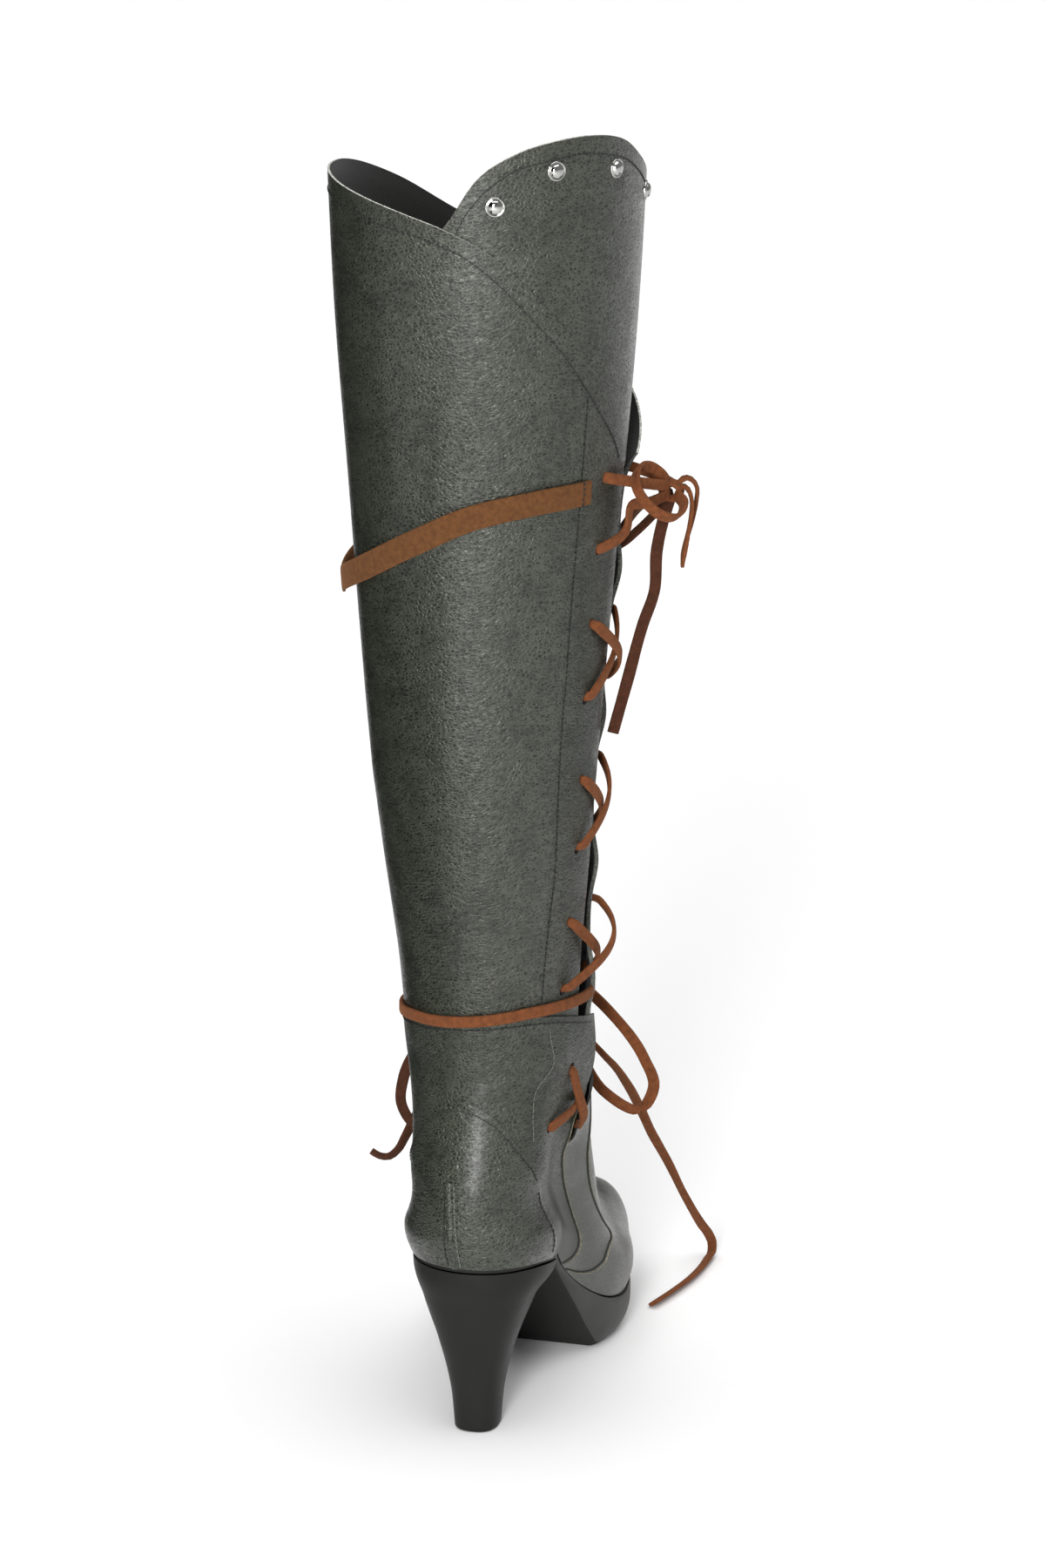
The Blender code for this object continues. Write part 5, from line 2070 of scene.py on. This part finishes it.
    def crossing(self, cross: LaceCross) -> Piece:
        """Two strands that cross over the slit.

        Args:
            cross: its holes and bulges.

        Returns:
            The new object.
        """
        high, low = cross.upper_hole, cross.upper_hole + 1
        falling = self.strand(self.slit.hole(high, Side.BACK), self.slit.hole(low, Side.FRONT), cross.falling)
        rising = self.strand(self.slit.hole(low, Side.BACK), self.slit.hole(high, Side.FRONT), cross.rising)
        points, faces = joined([falling, rising])
        return self.dress(points, faces, cross.node)

    def ankle_wrap(self) -> Piece:
        """Lace carried round the ankle.

        Returns:
            The new object.
        """
        low, back_rise, side_rise = 0.1955, 0.0065, 0.0048
        angle = np.linspace(83, -263, 260)
        turn = np.radians(angle)
        height = low + back_rise * np.clip(0.2 - np.sin(turn), 0, 1) + side_rise * np.cos(turn)
        path = self.form.place(angle, self.form.rise(height), self.lift)
        points, faces = strip_mesh(path, np.array((0.0, 0.0, 1.0)), self.width, self.thick)
        return self.dress(points, faces, "ankle_wrap")

    def knot_strand(self, strand: KnotStrand) -> Mesh:
        """Strand from a top hole to the upper knot.

        Args:
            strand: its hole and bends.

        Returns:
            Points and faces.
        """
        spot = self.slit.hole(strand.hole, strand.side)
        normal = self.form.normal(*spot)
        hole = self.form.place(*spot)
        deep, shallow, clear, narrow = 0.005, 0.001, 0.0022, 0.95
        lean = np.array((-0.001, 0.003 * strand.side.value, 0.002 - 0.004 * strand.hole))
        way = np.array(self.upper_knot) - SHIFT + lean - hole
        points = [hole - normal * deep, hole - normal * shallow, hole + normal * self.lift + way * 0.10]
        for part, rise in strand.bends:
            points.append(hole + normal * clear + way * part + np.array((0.0, 0.0, rise)))
        path = curve_through([*points, hole + way], 48)
        return strip_mesh(path, np.cross(normal, way), self.width * narrow, self.thick)

    def knot(
        self,
        node: str,
        centre: Point,
        axis: Point,
        radius: float,
        strands: Sequence[KnotStrand],
    ) -> Piece:
        """Tied knot: two turns of lace round the bundle, and its strands.

        Args:
            node: node it stands for.
            centre: middle of the knot in the boot's frame.
            axis: direction of the bundle.
            radius: radius of the turns.
            strands: strands that end in it.

        Returns:
            The new object.
        """
        middle = np.array(centre) - SHIFT
        turns, flatness = [], 0.85
        for lean, shift, size in ((0.35, -0.0012, 1.0), (-0.45, 0.0014, 0.86)):
            along = unit(np.array(axis) + lean * np.array((0.3, 0.2, 0.8)))
            first = unit(np.cross(along, (0.31, 0.17, 0.93)))
            second = np.cross(along, first)
            turn = np.linspace(0, 2 * math.pi, 48, endpoint=False)[:, None]
            ring = np.cos(turn) * first + flatness * np.sin(turn) * second
            path = middle + along * shift + radius * size * ring
            broad = np.broadcast_to(along, path.shape)
            turns.append(strip_mesh(path, broad, self.width, self.thick, closed=True))
        parts = [*turns, *(self.knot_strand(strand) for strand in strands)]
        # Strands marked back take the darker lace suede: painted shade.
        shaded_strands = [0, 0, *(int(strand.back) for strand in strands)]
        points, faces = joined(parts)
        return self.dress(points, faces, node, np.repeat(shaded_strands, [len(part[1]) for part in parts]))

    def free_lace(
        self, route: Route, centre: Point
    ) -> Piece:
        """Loop or tail of a bow.

        Args:
            route: its route.
            centre: knot that it leaves.

        Returns:
            The new object.
        """
        points = np.array(route.points_mm) * MM
        path = curve_through(points, int(travelled(points)[-1] / self.step)) - SHIFT
        at = travelled(path)
        width = self.width * (1 + 0.03 * np.sin(at / 0.011) + 0.02 * np.sin(at / 0.0043 + 1))
        turns = np.array(route.broad if len(route.broad) > 1 else route.broad * 2, float)
        broad = curve_values(np.linspace(0, 1, len(turns)), turns, at / at[-1])
        points, faces = strip_mesh(path, broad, width, self.thick)
        # A lace marked back takes the darker lace suede on every face: painted shade.
        piece = self.dress(points, faces, route.node, [int(route.back)] * len(faces))
        return piece


# Rivets


@dataclass
class Rivets:
    """Chromed dome rivets on the knee flap."""

    form: BootForm
    palette: Palette
    sides: int = 40
    sunk: float = 0.0009
    spots: tuple[Spot, ...] = ((-71.0, 0.575), (-49.0, 0.589), (-21.5, 0.5865), (9.0, 0.571))
    profile: tuple[tuple[float, float], ...] = (
        (4.3, -0.2), (4.35, 0.35), (4.25, 0.62), (4.0, 0.82), (3.7, 0.86), (3.45, 0.74), (3.32, 0.66),
        (3.22, 0.8), (3.12, 1.15), (2.85, 1.62), (2.4, 2.02), (1.8, 2.32), (1.1, 2.5), (0.45, 2.57),
    )

    def build(self) -> list[Piece]:
        """Sets the rivets.

        Returns:
            One piece per rivet.
        """
        pieces = []
        turn = 2 * math.pi * np.arange(self.sides) / self.sides
        for number, (angle, height) in enumerate(self.spots, 1):
            rise = float(self.form.rise(height))
            seat = self.form.place(angle, rise, -self.sunk)
            normal = self.form.normal(angle, rise)
            across = unit(np.cross((0.0, 0.0, 1.0), normal))
            upward = np.cross(normal, across)
            circle = np.cos(turn)[:, None] * across + np.sin(turn)[:, None] * upward
            rings = [seat + circle * wide * MM + normal * high * MM for wide, high in self.profile]
            faces = tube_faces(len(rings), self.sides)
            skins = [self.palette.chrome]
            piece = make_piece(
                f"dome_rivet_{number}", np.concatenate(rings), faces, skins, Slot.METAL, sharp=60
            )
            pieces.append(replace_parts(piece, f"rivet_{number}"))
        return pieces


# Studio


@dataclass(frozen=True)
class Softbox:
    """Area light: place, aim, size, power and colour."""

    name: str
    place: Point
    aim: Point
    size: tuple[float, float]
    power: float
    colour: str = "#ffffff"


@dataclass(frozen=True)
class Flag:
    """Dark or grey card: name, ends of its foot on the floor, height and colour."""

    name: str
    ends: tuple[Spot, Spot]
    height: float
    colour: str


@dataclass
class Studio:
    """Pale floor, soft light and the camera; only its eye and target are in the boot's frame."""

    eye: Point = (0.5997, -2.0745, 0.95)
    target: Point = (0.012, 0.062, 0.298)
    lens: float = 118.0
    sensor: float = 36.0
    floor_half: float = 30.0
    floor_glow: float = 0.16
    away: Point = (-0.309, 0.951, 0.0)
    sky: float = 2.55
    sky_spread: float = 70.0
    boxes: tuple[Softbox, ...] = (
        Softbox("key_softbox", (0.26, -2.46, 0.95), (0.0, 0.0, 0.32), (0.5, 1.5), 60.0),
    )
    flags: tuple[Flag, ...] = (
        Flag("left_flag", ((-0.189, -0.171), (-0.19, 0.14)), 1.3, "#0c0c0c"),
        Flag("low_left_flag", ((-0.153, -0.586), (-0.189, -0.171)), 0.34, "#0c0c0c"),
        Flag("right_flag", ((0.42, 0.05), (0.1, 0.5)), 0.36, "#a4a4a4"),
    )
    left: Point = (-0.951, -0.309, 0.0)
    ambient_left: float = 0.01
    ambient_right: float = 0.30

    def build(self) -> None:
        """Sets up the floor, world, lights and camera."""
        self.floor()
        self.world()
        self.overhead()
        for flag in self.flags:
            self.stand_flag(flag)
        for box in self.boxes:
            self.light(box)
        self.camera()

    def floor(self) -> None:
        """Pale paper sweep under the boot, glowing brighter towards the back as painted light."""
        half = self.floor_half
        corners = [(-half, -half, 0), (half, -half, 0), (half, half, 0), (-half, half, 0)]
        mesh = bpy.data.meshes.new("studio_floor")
        mesh.from_pydata(corners, [], [(0, 1, 2, 3)])
        paper = PaperSweep("white_paper_sweep", "#f4f4f4", 0.8, away=self.away, glow=self.floor_glow)
        mesh.materials.append(paper.make())
        put("studio_floor", mesh)

    def world(self) -> None:
        """White surround: white to the camera, and as light dim towards the left."""
        world = bpy.data.worlds.new("white_studio")
        world.use_nodes = True
        bpy.context.scene.world = world
        tree = world.node_tree
        tree.nodes.clear()
        to_camera = add_node(tree, "LightPath").outputs["Is Camera Ray"]
        way = add_node(tree, "TexCoord").outputs["Generated"]
        lean = add_node(tree, "VectorMath", {0: way, 1: self.left}, operation="DOT_PRODUCT").outputs["Value"]
        dim = add_node(
            tree,
            "MapRange",
            {
                "Value": lean,
                "From Min": -0.8,
                "From Max": 0.55,
                "To Min": self.ambient_right,
                "To Max": self.ambient_left,
            },
            interpolation_type="SMOOTHSTEP",
        )
        power = add_node(tree, "MapRange", {"Value": to_camera, "To Min": dim, "To Max": 1.0})
        surround = add_node(tree, "Background", {"Color": (1, 1, 1, 1), "Strength": power})
        add_node(tree, "OutputWorld", {"Surface": surround})

    def overhead(self) -> None:
        """Wide soft light from above, even over the whole floor."""
        lamp = bpy.data.lights.new("overhead_silk", "SUN")
        lamp.energy = self.sky
        lamp.angle = math.radians(self.sky_spread)
        put("overhead_silk", lamp)

    def stand_flag(self, flag: Flag) -> None:
        """Stands up a dark card that is seen only in reflections.

        Args:
            flag: its place and height.
        """
        ends = [(x, y, z) for z in (0.0, flag.height) for x, y in flag.ends]
        mesh = bpy.data.meshes.new(flag.name)
        mesh.from_pydata(ends, [], [(0, 1, 3, 2)])
        mesh.materials.append(Finish(flag.name + "_card", flag.colour, 0.9).make())
        card = put(flag.name, mesh)
        card.visible_camera = card.visible_diffuse = card.visible_shadow = False

    def light(self, box: Softbox) -> None:
        """Hangs a softbox.

        Args:
            box: its place and power.
        """
        lamp = bpy.data.lights.new(box.name, "AREA")
        lamp.shape = "RECTANGLE"
        lamp.size, lamp.size_y = box.size
        lamp.energy = box.power
        lamp.color = linear(box.colour)[:3]
        self.aim(put(box.name, lamp), Vector(box.place), Vector(box.aim) - Vector(box.place))

    def aim(self, thing: Piece, place: Vector, way: Vector) -> None:
        """Sets a light or the camera at a place and turns it a given way."""
        thing.location = place
        thing.rotation_euler = way.to_track_quat("-Z", "Y").to_euler()

    def camera(self) -> None:
        """Camera at the photograph's angle, framed on the one boot."""
        lens = bpy.data.cameras.new("studio_camera")
        lens.lens = self.lens
        lens.sensor_width = self.sensor
        lens.clip_end = 50
        camera = put("studio_camera", lens)
        self.aim(camera, Vector(self.eye) - Vector(SHIFT), Vector(self.target) - Vector(self.eye))
        bpy.context.scene.camera = camera
        bpy.context.scene.view_settings.view_transform = "Standard"


def main() -> None:
    """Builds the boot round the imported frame."""
    logging.basicConfig(level=logging.INFO, format="%(name)s: %(message)s")
    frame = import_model()
    log.info("frame with %d nodes", len(frame["nodes"]))
    palette, form = Palette(), BootForm()
    slit = Slit(form)
    Studio().build()
    leather = Leather(form, slit, palette)
    assemblies = (
        Lacing(form, slit, palette),
        leather,
        Stitching(form, palette, leather),
        SoleUnit(form, palette),
        CalfBand(form, palette),
        Rivets(form, palette),
    )
    for assembly in assemblies:
        for piece in assembly.build():
            log.info("%s: %d faces", piece.name, len(piece.data.polygons))


if __name__ == "__main__":
    main()
